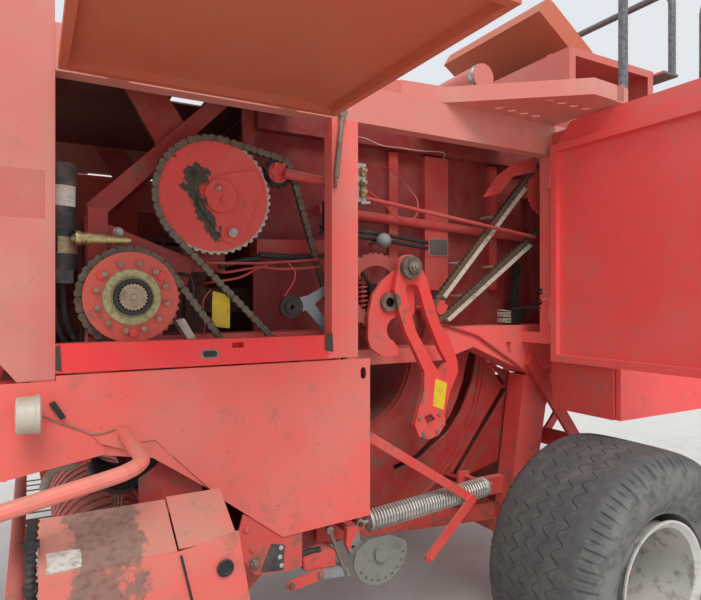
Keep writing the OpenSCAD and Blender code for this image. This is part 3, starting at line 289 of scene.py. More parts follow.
red_frame = paint("red_frame", RED, dust=0.5, soil=0.5, fade=0.35, chips=0.7, pale=PANEL)
frame_paint = paint(
    "frame_paint", (0.93, 0.135, 0.112), dust=0.35, soil=0.12, fade=0.6, chips=0.4, dull=0.40,
    coats=coat((-1900, -720, 2206), (2000, 720, 2350), (0.70, 0.22, 0.175), (0.74, 0.32, 0.26))
    + coat((1124, 640, 1337), (2060, 720, 1432), (0.92, 0.040, 0.042), (0.90, 0.075, 0.072)))
panel_low = paint("panel_low", (0.90, 0.130, 0.102), dust=0.35, soil=0.16, fade=0.6, chips=0.7,
                  dull=0.38, pale=(0.84, 0.22, 0.18))
panel_front = paint(
    "panel_front", (0.66, 0.168, 0.135), dust=0.4, soil=0.08, fade=0.75, chips=0.35, dull=0.40,
    pale=(0.69, 0.30, 0.25),
    coats=coat((2024, 700, 1780), (2134, 720, 1918), (0.60, 0.125, 0.10), (0.63, 0.17, 0.14)))
red_panel = paint("red_panel", PANEL, dust=0.35, soil=0.10, fade=0.65, chips=0.35, dull=0.40)
tube_paint = paint("tube_paint", (0.93, 0.17, 0.12), dust=0.35, soil=0.15, fade=0.5, chips=0.4,
                   dull=0.36)
red_cover = paint("red_cover", (0.74, 0.075, 0.066), dust=0.35, soil=0.14, fade=0.35, chips=0.4,
                  dull=0.36, pale=(0.76, 0.16, 0.135))
# the doors' red is made brighter than the twine boxes' red as painted light on their forward-facing insides
door_paint_lit = paint("door_paint_lit", (0.90, 0.088, 0.082), dust=0.3, soil=0.12, fade=0.35, chips=0.4,
                   dull=0.38, pale=(0.86, 0.19, 0.16))
# the dark reds of the insides (chute, braces, chamber walls, roof, gearbox, plunger, flywheel) are the red
# paint darkened as painted shade under the covers, with real soil and dust over it
red_inner = paint("red_inner", SHADED_RED, dust=0.45, soil=0.7, fade=0.25, chips=0.5, dull=0.34, pale=RED)
wall_paint_shaded = paint("wall_paint_shaded", DARK_SHADED_RED, dust=0.35, soil=0.8, fade=0.3, chips=0.4, dull=0.36, pale=SHADED_RED)
red_dark_shaded = paint("red_dark_shaded", (0.10, 0.022, 0.018), dust=0.3, soil=0.9, fade=0.2, chips=0.3,
                 dull=0.45, pale=(0.20, 0.030, 0.026))
under_lid = paint("under_lid", UNDER, dust=0.25, soil=0.30, fade=0.2, chips=0.3, dull=0.36,
                  pale=(0.56, 0.19, 0.09))


def shield_dirt(s):
    """Brown-grey dirt with a ragged edge across the sloping top of the left side shield."""
    k = s.inside((1896, 1000, 905), (1904, 1040, 1010), soft=0.16)
    blot = s.step(s.math("ADD", k, s.mul(s.noise(11, 6, 0.75, shift=6.6), 1.6)), 1.22, 1.42)
    return s.mul(blot, 0.8)


def shield_pale(s):
    """Paint worn to pale grey at the front end of that dirt."""
    k = s.inside((1962, 1055, 880), (2022, 1092, 1000), soft=0.025)
    return s.step(s.math("ADD", k, s.mul(s.noise(20, 5, 0.6, shift=1.6), 0.5)), 1.05, 1.12)


shield_paint = paint("shield_paint", (0.78, 0.12, 0.095), dust=0.5, soil=0.35, fade=0.5, chips=0.6,
                     dull=0.40, pale=(0.82, 0.22, 0.17),
                     parts=[(shield_dirt, (0.20, 0.155, 0.125), 0.75, 0.0),
                            (shield_pale, (0.62, 0.60, 0.54), 0.55, 0.0)])
cream = paint("cream", CREAM, dust=0.6, soil=0.55, fade=0.3, chips=0.5, dull=0.34,
              pale=(0.66, 0.64, 0.58))
rim_paint = paint("rim_paint", (0.60, 0.595, 0.56), dust=0.4, soil=0.5, fade=0.3, chips=0.5, dull=0.34,
                  pale=(0.70, 0.69, 0.65), coats=[(lambda s: s.ring(0, AXLE_Z, 0, 63), RED, PANEL)])
grey = paint("grey", (0.25, 0.27, 0.28), dust=0.5, soil=0.6, fade=0.3, chips=0.6, pale=(0.36, 0.38, 0.39))
idler_paint = paint(
    "idler_paint", (0.22, 0.28, 0.32), dust=0.4, soil=0.6, fade=0.3, chips=0.5,
    pale=(0.34, 0.40, 0.44), parts=rings(1225, 1524, (0, 44, (0.045, 0.034, 0.028), 0.6, 0.1)))
dark_plate = paint("dark_plate", (0.030, 0.032, 0.036), dust=0.5, soil=0.5, fade=0.3, chips=0.3,
                   pale=(0.10, 0.10, 0.11))
steel = bare("steel", STEEL, rust=0.35, grime=0.35)
rusty = bare("rusty", (0.30, 0.24, 0.19), rust=0.9, grime=0.7, rough=0.6, metal=0.5)
worn = bare("worn", (0.42, 0.40, 0.37), rust=0.4, grime=0.6, rough=0.30)
brass = bare("brass", (0.55, 0.45, 0.22), rust=0.25, grime=0.75, rough=0.35, metal=0.8)
chain = bare("chain", (0.070, 0.052, 0.036), rust=0.25, grime=0.8, rough=0.55, metal=0.2)
chain_worn = bare("chain_worn", (0.17, 0.135, 0.095), rust=0.25, grime=0.5, rough=0.45, metal=0.4)
tan_bolt = bare("tan_bolt", (0.42, 0.31, 0.22), rust=0.35, grime=0.4, rough=0.4, metal=0.6)
worn_rim = bare("worn_rim", (0.30, 0.24, 0.20), rust=0.3, grime=0.5, rough=0.5)
zinc = bare("zinc", (0.62, 0.60, 0.55), rust=0.2, grime=0.3, rough=0.3)
rubber = plain("rubber", (0.082, 0.088, 0.088), (0.130, 0.132, 0.124), rough=0.62, scale=22)
plastic = plain("plastic", BLACK, (0.035, 0.032, 0.030), rough=0.38, scale=30)
hose = plain("hose", (0.028, 0.028, 0.028), (0.075, 0.066, 0.055), rough=0.5, scale=24)
sticker = plain("sticker", YELLOW, (0.62, 0.42, 0.03), rough=0.35, scale=26)
twine = plain("twine", (0.62, 0.56, 0.44), (0.40, 0.34, 0.25), rough=0.7, scale=160)
label = plain("label", (0.62, 0.60, 0.55), (0.45, 0.42, 0.36), rough=0.4, scale=40)
pale_rubber = plain("pale_hose", (0.42, 0.40, 0.33), (0.30, 0.28, 0.22), rough=0.6, scale=18)

clutch_paint = paint(
    "clutch_paint", (0.62, 0.100, 0.070), dust=0.5, soil=0.5, fade=0.3, chips=0.5, pale=PANEL,
    parts=rings(*CLUTCH, (56, 88, (0.46, 0.40, 0.20), 0.5, 0.35), (0, 56, BLACK, 0.45, 0.0)))


def grease_blot(s):
    """Irregular grease round the hole of the main sprocket and down the cover plate's edge."""
    near = s.math("SUBTRACT", 0.046, s.radius(1568, 1972))
    # distance from the line that runs down along the plate
    d = s.parts(s.vector("SUBTRACT", s.here, tuple(at(1586, 0, 1930))))
    aside = s.math("ABSOLUTE", s.math("ADD", s.mul(d[0], -0.88), s.mul(d[2], 0.47)))
    run = s.mul(s.step(d[2], -0.190, -0.150), s.step(d[2], 0.03, 0.0))
    line = s.math("SUBTRACT", s.mul(run, 0.024), aside)
    far = s.math("MAXIMUM", near, line)
    rag = s.mul(s.math("SUBTRACT", s.noise(38, 5, 0.7, shift=2.7), 0.5), 0.085)
    return s.mul(s.step(s.math("ADD", far, rag), 0.0, 0.006), s.ring(*MAIN, 0, 190))


sprocket_paint = paint(
    "sprocket_paint", (0.66, 0.058, 0.050), dust=0.3, soil=0.45, fade=0.3, chips=0.4, pale=PANEL,
    coats=[(lambda s: s.ring(*RING, 0, 160), (0.36, 0.055, 0.045), (0.44, 0.10, 0.08))],
    parts=rings(*MAIN, (193, 216, (0.42, 0.38, 0.30), 0.45, 0.7))
    + [(grease_blot, (0.050, 0.042, 0.022), 0.5, 0.0)]
    + rings(1577, 1982, (0, 13, GREASE, 0.4, 0.0)) + rings(1267, 2016, (38, 60, GREASE, 0.6, 0.1))
    + rings(*RING, (0, 98, GREASE, 0.6, 0.1)))
crank_paint = paint(
    "crank_paint", (0.78, 0.058, 0.050), dust=0.5, soil=0.75, fade=0.35, chips=0.7, pale=PANEL,
    parts=rings(*CRANK, (0, 48, (0.20, 0.15, 0.11), 0.6, 0.3))
    + rings(817, 1541, (19, 40, (0.22, 0.14, 0.10), 0.6, 0.2), (0, 19, GREASE, 0.5, 0.0)))
links_paint = paint(
    "links_paint", RED, dust=0.5, soil=0.5, fade=0.35, chips=0.7, pale=PANEL,
    coats=[(lambda s: s.ring(915, 605, 0, 125), (0.20, 0.205, 0.18), (0.28, 0.285, 0.25))])
guide_paint = bare("guide_paint", (0.62, 0.58, 0.46), rust=0.10, grime=0.45, rough=0.5, metal=0.1)
pump_paint = paint(
    "pump_paint", (0.020, 0.020, 0.022), dust=0.8, soil=0.5, fade=0.5, chips=0.1, dull=0.32,
    pale=(0.09, 0.09, 0.09),
    parts=zone((1800, 540, 1690), (1990, 720, 1740), (0.36, 0.29, 0.17), 0.4, 0.7))
rods_paint = paint("rods_paint", (0.50, 0.042, 0.040), dust=0.4, soil=0.5, fade=0.4, chips=0.6, pale=RED)
step_paint = paint(
    "step_paint", (0.72, 0.21, 0.17), dust=0.5, soil=0.2, fade=0.7, chips=0.4,
    pale=(0.76, 0.34, 0.28),
    parts=zone((-760, -1200, 2410), (-40, 1200, 3300), (0.20, 0.20, 0.21), 0.35, 0.5))
box_paint = paint(
    "box_paint", (0.70, 0.17, 0.135), dust=0.35, soil=0.2, fade=0.6, chips=0.4,
    parts=zone((-910, -800, 2714), (-781, 800, 3300), (0.20, 0.20, 0.21), 0.35, 0.5)
    + zone((120, 460, 2530), (280, 490, 2670), STEEL, 0.25, 0.9))
spring_paint = bare("spring_paint", (0.60, 0.58, 0.52), rust=0.2, grime=0.35, rough=0.45, metal=0.35)

# the nodes that carry each material
for mat, nodes in (
        (red_frame, "tongue axle needle_yoke density_frame bale_chute windguard"),
        (frame_paint, "side_frame_left side_frame_right"),
        # chamber walls, roof, gearbox, plunger, flywheel, chute and braces get the red paint darkened as
        # painted shade
        (wall_paint_shaded, "chamber_wall_left chamber_wall_right"),
        (red_dark_shaded, "chamber_roof gearbox plunger flywheel"),
        (red_inner, "stuffer_chute braces"), (crank_paint, "stuffer_crank"),
        (clutch_paint, "clutch_hub"), (sprocket_paint, "sprockets"), (chain, "drive_chains"),
        (idler_paint, "idler_bracket"), (pump_paint, "grease_pump"), (guide_paint, "chain_guides"),
        (rods_paint, "bay_rods"), (spring_paint, "trip_spring"), (links_paint, "trip_links"),
        (panel_low, "lower_panel_left lower_panel_right"),
        (panel_front, "front_panel_left front_panel_right nose_cover"),
        (tube_paint, "guard_tubes"), (rim_paint, "rim_left rim_right"),
        (rubber, "tyre_left tyre_right gauge_wheel_left gauge_wheel_right"),
        (red_cover, "twine_box_left twine_box_right"),
        # the doors' material is the red paint brightened as painted light
        (door_paint_lit, "twine_door_left twine_door_right door_left door_right"),
        (step_paint, "platform"), (box_paint, "top_box"), (under_lid, "knotter_hood hood_left"),
        (red_panel, "hood_right"), (cream, "lamps"), (shield_paint, "pickup_frame"),
        (rusty, "packer knotters pickup_reel"), (steel, "jack_leg pto_stub"),
        (worn, "hitch_eye chamber_floor"), (plastic, "drive_guard")):
    for node in nodes.split():
        ob = bpy.data.objects[node]
        ob.data.materials.clear()
        ob.data.materials.append(mat)

# ---------------- making pieces
SHARP = math.radians(35)


def piece(name, bm, mat, body="frame", smooth=True):
    me = bpy.data.meshes.new(name)
    bmesh.ops.recalc_face_normals(bm, faces=bm.faces)
    for f in bm.faces:
        f.smooth = smooth
    bm.to_mesh(me)
    bm.free()
    for m in mat if isinstance(mat, (list, tuple)) else [mat]:
        me.materials.append(m)
    ob = bpy.data.objects.new(name, me)
    scene.collection.objects.link(ob)
    if smooth:
        me.set_sharp_from_angle(angle=SHARP)
    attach(ob, body)
    return ob


def frame_along(u):
    """Two directions square to u."""
    side = Vector((0, 0, 1)) if abs(u.z) < 0.9 else Vector((1, 0, 0))
    v = u.cross(side).normalized()
    return v, u.cross(v).normalized()


def add_loft(bm, rings_, cap=True, closed=False, mat=0):
    """Quads between rings of equally many points."""
    made = [[bm.verts.new(p) for p in r] for r in rings_]
    pairs = list(zip(made, made[1:])) + ([(made[-1], made[0])] if closed else [])
    for a, b in pairs:
        n = len(a)
        for i in range(n):
            f = bm.faces.new((a[i], a[(i + 1) % n], b[(i + 1) % n], b[i]))
            f.material_index = mat
    if cap and not closed:
        for r in (made[0][::-1], made[-1]):
            bm.faces.new(r).material_index = mat


def slab(bm, shape, y0, y1, mat=0):
    """A plate of outline (x, z) from y0 to y1."""
    add_loft(bm, [[at(x, y, z) for x, z in shape] for y in (y0, y1)], mat=mat)


def post(bm, shape, z0, z1):
    """A post of outline (x, y) from z0 to z1."""
    add_loft(bm, [[at(x, y, z) for x, y in shape] for z in (z0, z1)])


def smooth_path(points, step=0.015):
    """Catmull-Rom curve through points, at about the given step."""
    p = [points[0] * 2 - points[1]] + list(points) + [points[-1] * 2 - points[-2]]
    out = []
    for i in range(1, len(p) - 2):
        a, b, c, d = p[i - 1:i + 3]
        n = max(2, int((c - b).length / step))
        for k in range(n):
            t = k / n
            out.append(0.5 * ((2 * b) + (c - a) * t + (2 * a - 5 * b + 4 * c - d) * t * t
                              + (3 * b - a - 3 * c + d) * t ** 3))
    return out + [points[-1]]


def add_tube(bm, points, r, sides=10, mat=0, radii=None):
    """A round tube along a list of points in metres."""
    v = None
    loops = []
    for i, p in enumerate(points):
        u = (points[min(i + 1, len(points) - 1)] - points[max(i - 1, 0)]).normalized()
        if v is None:
            v = frame_along(u)[0]
        v = (v - u * v.dot(u)).normalized()
        w = u.cross(v)
        q = radii[i] if radii else r
        loops.append([p + (v * math.cos(a) + w * math.sin(a)) * q
                      for a in (2 * math.pi * k / sides for k in range(sides))])
    add_loft(bm, loops, mat=mat)


def add_turned(bm, base, axis, profile, sides=24, mat=0):
    """A turned form: profile of (distance along the axis, radius) in mm from a base point."""
    u = Vector(axis).normalized()
    v, w = frame_along(u)
    loops = []
    for d, r in profile:
        loops.append([base + u * d / 1000 + (v * math.cos(a) + w * math.sin(a)) * r / 1000
                      for a in (2 * math.pi * k / sides for k in range(sides))])
    add_loft(bm, loops, mat=mat)


def add_bolt(bm, base, axis, across=19, head=8, stud=0, washer=True, mat=0):
    """Hexagon head with chamfer, on a washer, with the stud's end through it."""
    r = across / 2 * 1.155
    if washer:
        add_turned(bm, base, axis, [(0, r * 1.25), (2, r * 1.25), (2.4, r * 1.15)], 20, mat)
    b = base + Vector(axis).normalized() * (0.002 if washer else 0)
    add_turned(bm, b, axis, [(0, r), (head * 0.8, r), (head, r * 0.82)], 6, mat)
    if stud:
        add_turned(bm, b + Vector(axis).normalized() * head / 1000 * 0.9, axis,
                   [(0, across * 0.27), (stud, across * 0.27), (stud + 1.5, across * 0.2)], 12, mat)


def bolts(name, spots, axis, mat, slot, **how):
    bm = bmesh.new()
    for s in spots:
        add_bolt(bm, at(*s), axis, **how)
    return piece(name, bm, mat)


def hoses(name, lines, r, mat, sides=10):
    bm = bmesh.new()
    for pts in lines:
        add_tube(bm, smooth_path([at(*p) for p in pts]), r / 1000, sides)
    return piece(name, bm, mat)


def plate_on(name, corners, mat, lift=0.1, thick=0.8, inset=None, inner=None, out=(0, 1, 0)):
    """A thin plate or sticker through corners in mm, lifted off its surface toward out."""
    p = [at(*c) for c in corners]
    n = (p[1] - p[0]).cross(p[2] - p[0]).normalized()
    if n.dot(Vector(out)) < 0:
        p.reverse()
        n = -n
    mid = sum(p, Vector()) / len(p)
    bm = bmesh.new()
    # rounded corners
    edge = []
    for i, q in enumerate(p):
        a, b = p[i - 1], p[(i + 1) % len(p)]
        r = min(0.006, (a - q).length / 3, (b - q).length / 3)
        s, e = q + (a - q).normalized() * r, q + (b - q).normalized() * r
        for t in (0, 0.25, 0.5, 0.75, 1):
            edge.append((s * (1 - t) + q * t) * (1 - t) + (q * (1 - t) + e * t) * t)
    base = [q + n * lift / 1000 for q in edge]
    top = [q + n * (lift + thick) / 1000 for q in edge]
    add_loft(bm, [base, top])
    if inset:
        low = [mid + (q - mid) * inset + n * (lift + thick - 0.1) / 1000 for q in edge]
        high = [mid + (q - mid) * inset + n * (lift + thick + 0.25) / 1000 for q in edge]
        add_loft(bm, [low, high], mat=1)
    return piece(name, bm, [mat, inner] if inset else mat, smooth=False)

# ---------------- tyres with their tread
# section of a wide flotation tyre: (y from the middle plane, radius), mm
HALF_SECTION = [(203, 262), (206, 275), (222, 292), (240, 325), (249, 362), (250, 392), (246, 420),
                (238, 440), (228, 455), (217, 466), (206, 475), (194, 481), (170, 486), (130, 488.5),
                (90, 489.5), (45, 490), (0, 490)]
LUGS = 44


def tread_material():
    """Dusty rubber with zigzag sipes round the tread, drawn by angle and width."""
    s = Shader("tyre_tread")
    x, y, z = s.parts(s.vector("SUBTRACT", s.here, tuple(at(0, 0, AXLE_Z))))
    angle = s.math("ARCTAN2", z, x)
    r = s.vector("LENGTH", s.vector("MULTIPLY", s.vector("SUBTRACT", s.here, tuple(at(0, 0, AXLE_Z))),
                                    (1.0, 0.0, 1.0)))
    across = s.math("SUBTRACT", s.math("ABSOLUTE", y), AXLE_Y / 1000)
    # zigzag: long run round the tyre, short step across
    turns = s.mul(angle, LUGS / (2 * math.pi))
    saw = s.math("FRACT", s.math("ADD", turns, 100.0))
    rise = s.step(saw, 0.0, 0.42)
    fall = s.step(saw, 0.50, 1.0)
    zig = s.mul(s.math("SUBTRACT", rise, fall), 0.036)
    run = s.mul(s.math("ADD", across, zig), 1 / 0.062)
    line = s.math("ABSOLUTE", s.math("SUBTRACT", s.math("FRACT", s.math("ADD", run, 50.0)), 0.5))
    # wider on the step across, and painted darker there as painted shade in the deeper cut
    wide = s.mul(s.mul(s.step(saw, 0.02, 0.12), s.step(saw, 0.40, 0.30)), 0.07)
    sipe = s.step(line, 0.470, 0.490)
    slot = s.math("GREATER_THAN", line, s.math("SUBTRACT", 0.5, wide))
    cut = s.math("MAXIMUM", s.mul(sipe, 0.6), slot)
    middle = s.math("LESS_THAN", s.math("ABSOLUTE", across), 0.150)
    on_top = s.math("GREATER_THAN", r, 0.478)
    worn_n = s.noise(7, 5, 0.6, shift=4.0)
    cut = s.mul(s.mul(cut, middle), on_top)
    cut = s.mul(cut, s.step(worn_n, 0.25, 0.5))
    n = s.noise(22, 6, 0.65)
    side = s.step(r, 0.470, 0.420)
    c = s.mix(s.step(n, 0.4, 0.72), (0.086, 0.092, 0.092), (0.122, 0.126, 0.120))
    c = s.mix(s.mul(side, s.step(n, 0.30, 0.62)), c, (0.19, 0.185, 0.165))
    c = s.mix(s.mul(s.step(s.noise(5, 5, 0.6, shift=8.0), 0.52, 0.66), 0.5), c,
              (0.20, 0.18, 0.15))
    # the grooves are painted near black as painted shade inside them
    c = s.mix(s.mul(cut, 0.85), c, (0.016, 0.016, 0.016))
    s.bump(s.mul(cut, -1.0), 0.006)
    s.bump(s.noise(260, 3, 0.6), 0.0006)
    s.bump(s.noise(30, 5, 0.6), 0.0012)
    return s.finish(c, s.math("ADD", 0.62, s.mul(n, 0.2)))


def tyre(side, name, mat):
    """One tyre with its tread grooves, in place of the plain one."""
    turns = LUGS * 12
    outline = [(-y, r) for y, r in HALF_SECTION] + [(y, r) for y, r in HALF_SECTION[-2::-1]]
    inner = [(y * 0.97, 256) for y in (200, -200)]
    centre = at(0, side * AXLE_Y, AXLE_Z)
    bm = bmesh.new()
    loops = []
    for k in range(turns):
        a = 2 * math.pi * k / turns
        phase = k % 12
        loop = []
        for y, r in outline + inner:
            w = abs(y)
            # shoulder grooves, long and short by turns, from the tread's edge down the side
            long_ = phase in (3, 4) and 196 < w < 240 and r > 430
            short = phase in (9, 10) and 204 < w < 232 and r > 440
            deep = 7 if long_ else 6 if short else 0
            q = r * (1 - deep / 490) / 1000
            loop.append(centre + Vector((math.cos(a) * q, (y - math.copysign(deep * 0.7, y)) / 1000,
                                         math.sin(a) * q)))
        loops.append(loop)
    add_loft(bm, loops, closed=True)
    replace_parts(piece("tyre_tread_" + name, bm, mat, "wheel_" + name), "tyre_" + name)


tread = tread_material()
for side, name in SIDES:
    tyre(side, name, tread)

# ---------------- front drive bay


def around(cx, cz, r, y, angles):
    return [(cx + r * math.cos(math.radians(a)), y, cz + r * math.sin(math.radians(a))) for a in angles]


bolts("clutch_nuts", around(*CLUTCH, 106, 662, [30 * k + 11 for k in range(12)]), LEFT,
      tan_bolt, "bright_steel", across=18, head=7, stud=3, washer=False)

bm = bmesh.new()
for a in (37, 143, 268):
    x, y, z = around(*CLUTCH, 112, 650, [a])[0]
    add_turned(bm, at(x, y, z), LEFT, [(0, 15), (5, 15), (7, 13), (7.5, 4)], 20)
piece("clutch_caps", bm, red_frame)

bolts("sprocket_bolts", [(1446, 620, 1784), (1495, 608, 1934)], LEFT, steel, "bright_steel",
      across=22, head=9, stud=5)
bolts("small_sprocket_bolts", around(1267, 2016, 30, 602, range(0, 360, 60)), LEFT,
      red_frame, "red_frame", across=13, head=6, washer=False)
bolts("brace_bolts", [(1806, 520, 1776)], LEFT, steel, "bright_steel", across=22, head=9, stud=4)

# thin lines clipped along the frame
hoses("red_lines", [
    [(1560, 470, 1688), (1546, 540, 1684), (1520, 590, 1678), (1343, 600, 1682), (1200, 602, 1694),
     (1080, 606, 1705), (1066, 655, 1708)],
    [(1500, 470, 1652), (1490, 540, 1650), (1460, 590, 1647), (1343, 600, 1667), (1254, 602, 1663),
     (1080, 606, 1676), (1066, 655, 1678)],
    [(1530, 470, 1606), (1518, 540, 1609), (1500, 586, 1613), (1413, 590, 1630), (1352, 592, 1661),
     (1310, 596, 1680)],
], 4.5, red_inner, 8)
hoses("thin_wires", [
    [(1234, 602, 1685), (1211, 603, 1664), (1206, 603, 1640), (1214, 604, 1615), (1250, 606, 1562)],
    [(1508, 562, 1586), (1534, 564, 1554), (1537, 566, 1519), (1529, 566, 1479), (1531, 548, 1424)],
], 2.2, red_frame, 6)
hoses("dark_hose", [
    [(1620, 548, 1640), (1583, 566, 1633), (1572, 570, 1600), (1571, 570, 1559), (1549, 570, 1525),
     (1514, 568, 1479), (1473, 548, 1425)],
], 6.5, plastic, 10)
hoses("black_harness", [
    [(1330, 560, 1716), (1230, 566, 1712), (1120, 560, 1712), (1040, 545, 1722)],
    [(1480, 560, 1668), (1400, 560, 1690), (1330, 560, 1700)],
], 11, plastic, 10)

hoses("pump_cable", [
    [(1995, 596, 1645), (1998, 596, 1560), (1990, 592, 1470), (1950, 560, 1400), (1900, 535, 1372)],
    [(1975, 590, 1645), (1972, 585, 1560), (1962, 575, 1480), (1930, 545, 1410), (1890, 520, 1374)],
], 7, hose, 8)

# seal and splined end of the slip clutch
bm = bmesh.new()
add_turned(bm, at(CLUTCH[0], 652, CLUTCH[1]), LEFT,
           [(0, 57.5), (26, 57.5), (27.5, 56), (27.5, 45), (22, 44)], 48)
splines = [(CLUTCH[0] + r * math.cos(math.radians(15 * k + a)),
            CLUTCH[1] + r * math.sin(math.radians(15 * k + a)))
           for k in range(24) for a, r in ((0, 39), (4, 43), (8, 43), (12, 39))]
slab(bm, splines, 672, 680.5, 1)
add_turned(bm, at(CLUTCH[0], 679, CLUTCH[1]), LEFT,
           [(0, 29), (4, 29), (5, 27), (5, 10), (7, 9), (12, 8), (12, 1)], 32, 1)
piece("clutch_end", bm, [plastic, tan_bolt])

# front end of the round tube behind the post, with the thin pipe under it, and the arm over the guide
bm = bmesh.new()
add_tube(bm, [at(834, 450, 1907.9), at(1040, 450, 1918)], 0.021, 24)
piece("cross_pipe", bm, rods_paint)
hoses("rear_pipe", [
    [(1040, 474, 1846), (830, 474, 1836), (640, 474, 1820), (505, 474, 1806)],
    [(1040, 472, 1822), (830, 472, 1812), (640, 472, 1796), (505, 470, 1782)],
], 9, hose, 10)
bm = bmesh.new()
arm = ((299, 2006), (194, 2035), (122, 2116), (-30, 2158), (-30, 2227), (122, 2177), (221, 2106))
slab(bm, arm, 600, 606)
add_bolt(bm, at(238, 606, 2056), LEFT, across=20)
piece("guide_arm", bm, rods_paint, smooth=False)
bm = bmesh.new()
slab(bm, ((812, 2345), (1010, 2345), (1010, 2398), (812, 2398)), 705, 709)
piece("beam_lip", bm, panel_front, smooth=False)

# yellow blank sticker, blank label on the reservoir
plate_on("sticker_bay", [(1502, 561, 1582), (1440, 561, 1567), (1440, 561, 1449), (1506, 561, 1458)][::-1],
         sticker, thick=0.6)

bm = bmesh.new()
arc = [(1985 + 52.6 * math.cos(a), 594 + 52.6 * math.sin(a))
       for a in (math.radians(d) for d in range(62, 152, 5))]
low, high = [[bm.verts.new(at(x, y, z)) for x, y in arc] for z in (1832, 1894)]
for i in range(len(arc) - 1):
    bm.faces.new((low[i], low[i + 1], high[i + 1], high[i]))
piece("reservoir_label", bm, label)

# brass pump element with its ribs and nipple
bm = bmesh.new()
add_turned(bm, at(1942, 640, 1738), (-1, 0, 0),
           [(0, 22), (14, 22), (15, 17), (30, 17), (31, 20), (44, 20), (45, 17), (84, 17), (85, 14),
            (100, 14), (101, 16), (108, 16), (109, 12), (150, 12), (151, 9), (158, 9)], 20)
add_turned(bm, at(1912, 655, 1738), LEFT, [(0, 9), (8, 9), (9, 5), (16, 5)], 12)
piece("pump_element", bm, brass)

# rusty prop of the cover, hanging from its hinge in front of the post
bm = bmesh.new()
add_tube(bm, [at(1073, 724, 2221), at(1098, 724, 1990)], 0.010, 14)
add_tube(bm, [at(1098, 724, 1994), at(1102, 724, 1952)], 0.006, 10)
add_turned(bm, at(1073, 712, 2226), LEFT, [(0, 17), (22, 17), (24, 12)], 16)
piece("cover_prop", bm, rusty)

# grey connector block on the post
bm = bmesh.new()
post(bm, ((1066, 600), (1096, 600), (1096, 656), (1066, 656)), 1808, 1922)
bmesh.ops.bevel(bm, geom=bm.edges[:], offset=0.003, segments=2, affect="EDGES")
piece("connector_block", bm, plastic)

# ---------------- roller chains, link by link
PITCH = 25.4


def belt(circles):
    """Closed path round circles (x, z, radius) given anticlockwise, as (x, z) points."""
    spans = []
    n = len(circles)
    for i in range(n):
        (x0, z0, r0), (x1, z1, r1) = circles[i], circles[(i + 1) % n]
        d = math.hypot(x1 - x0, z1 - z0)
        base = math.atan2(z1 - z0, x1 - x0)
        a = base - math.pi / 2 + math.asin((r0 - r1) / d)
        spans.append(a)
    path = []
    for i in range(n):
        x, z, r = circles[i]
        a0, a1 = spans[i - 1], spans[i]
        while a1 < a0:
            a1 += 2 * math.pi
        steps = max(2, int(r * (a1 - a0) / 6))
        path += [(x + r * math.cos(a0 + (a1 - a0) * k / steps), z + r * math.sin(a0 + (a1 - a0) * k / steps))
                 for k in range(steps + 1)]
    return path


def walk(path, links):
    """Points at even steps along a closed path."""
    seg = [math.dist(path[i], path[(i + 1) % len(path)]) for i in range(len(path))]
    total = sum(seg)
    out, i, gone = [], 0, 0.0
    for k in range(links):
        want = total * k / links
        while gone + seg[i] < want:
            gone += seg[i]
            i += 1
        t = (want - gone) / seg[i]
        a, b = path[i], path[(i + 1) % len(path)]
        out.append((a[0] + (b[0] - a[0]) * t, a[1] + (b[1] - a[1]) * t))
    return out, total


def add_chain(bm, circles, y, h=26, w=22):
    """Roller chain whose middle plane is at y; h is the plates' height, w the width over the plates."""
    path = belt(circles)
    total = walk(path, 1)[1]
    links = 2 * round(total / PITCH / 2)
    pins = walk(path, links)[0]
    for k in range(links):
        (x0, z0), (x1, z1) = pins[k], pins[(k + 1) % links]
        u = Vector((x1 - x0, z1 - z0)).normalized()
        v = Vector((-u.y, u.x))
        outer = k % 2
        r = h / 2 * (0.96 if outer else 1.0)
        # rounded ends and a waist between the pins
        shape = []
        for cx, cz, a0, step in ((x0, z0, 90, -0.64), (x1, z1, -90, 0.64)):
            for a in range(0, 181, 45):
                t = math.radians(a0 + a)
                p = u * math.cos(t) * r + v * math.sin(t) * r
                shape.append((cx + p.x, cz + p.y))
            shape.append(((x0 + x1) / 2 + v.x * r * step, (z0 + z1) / 2 + v.y * r * step))
        out = w / 2 if outer else w / 2 - 3.2
        for s in (-1, 1):
            slab(bm, shape, y + s * out, y + s * (out - 2.8), outer)
        add_turned(bm, at(x0, y - w / 2 - 1, z0), LEFT, [(0, 4), (w + 2, 4)], 8, 1)
        add_turned(bm, at(x0, y - w / 2 + 6, z0), LEFT, [(0, 8), (w - 12, 8)], 8)


bm = bmesh.new()
add_chain(bm, [(*MAIN, 199), (1267, 2016, 52), (1017, 1216, 56)], DRIVE_Y - 5)
add_chain(bm, [(-143, 2088, 129.6), (515, 1510, 41)], DRIVE_Y - 25, h=29)
add_chain(bm, [(*CLUTCH, 152), (1450, 1270, 56)], DRIVE_Y + 15)
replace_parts(piece("roller_chains", bm, [chain, chain_worn]), "drive_chains")

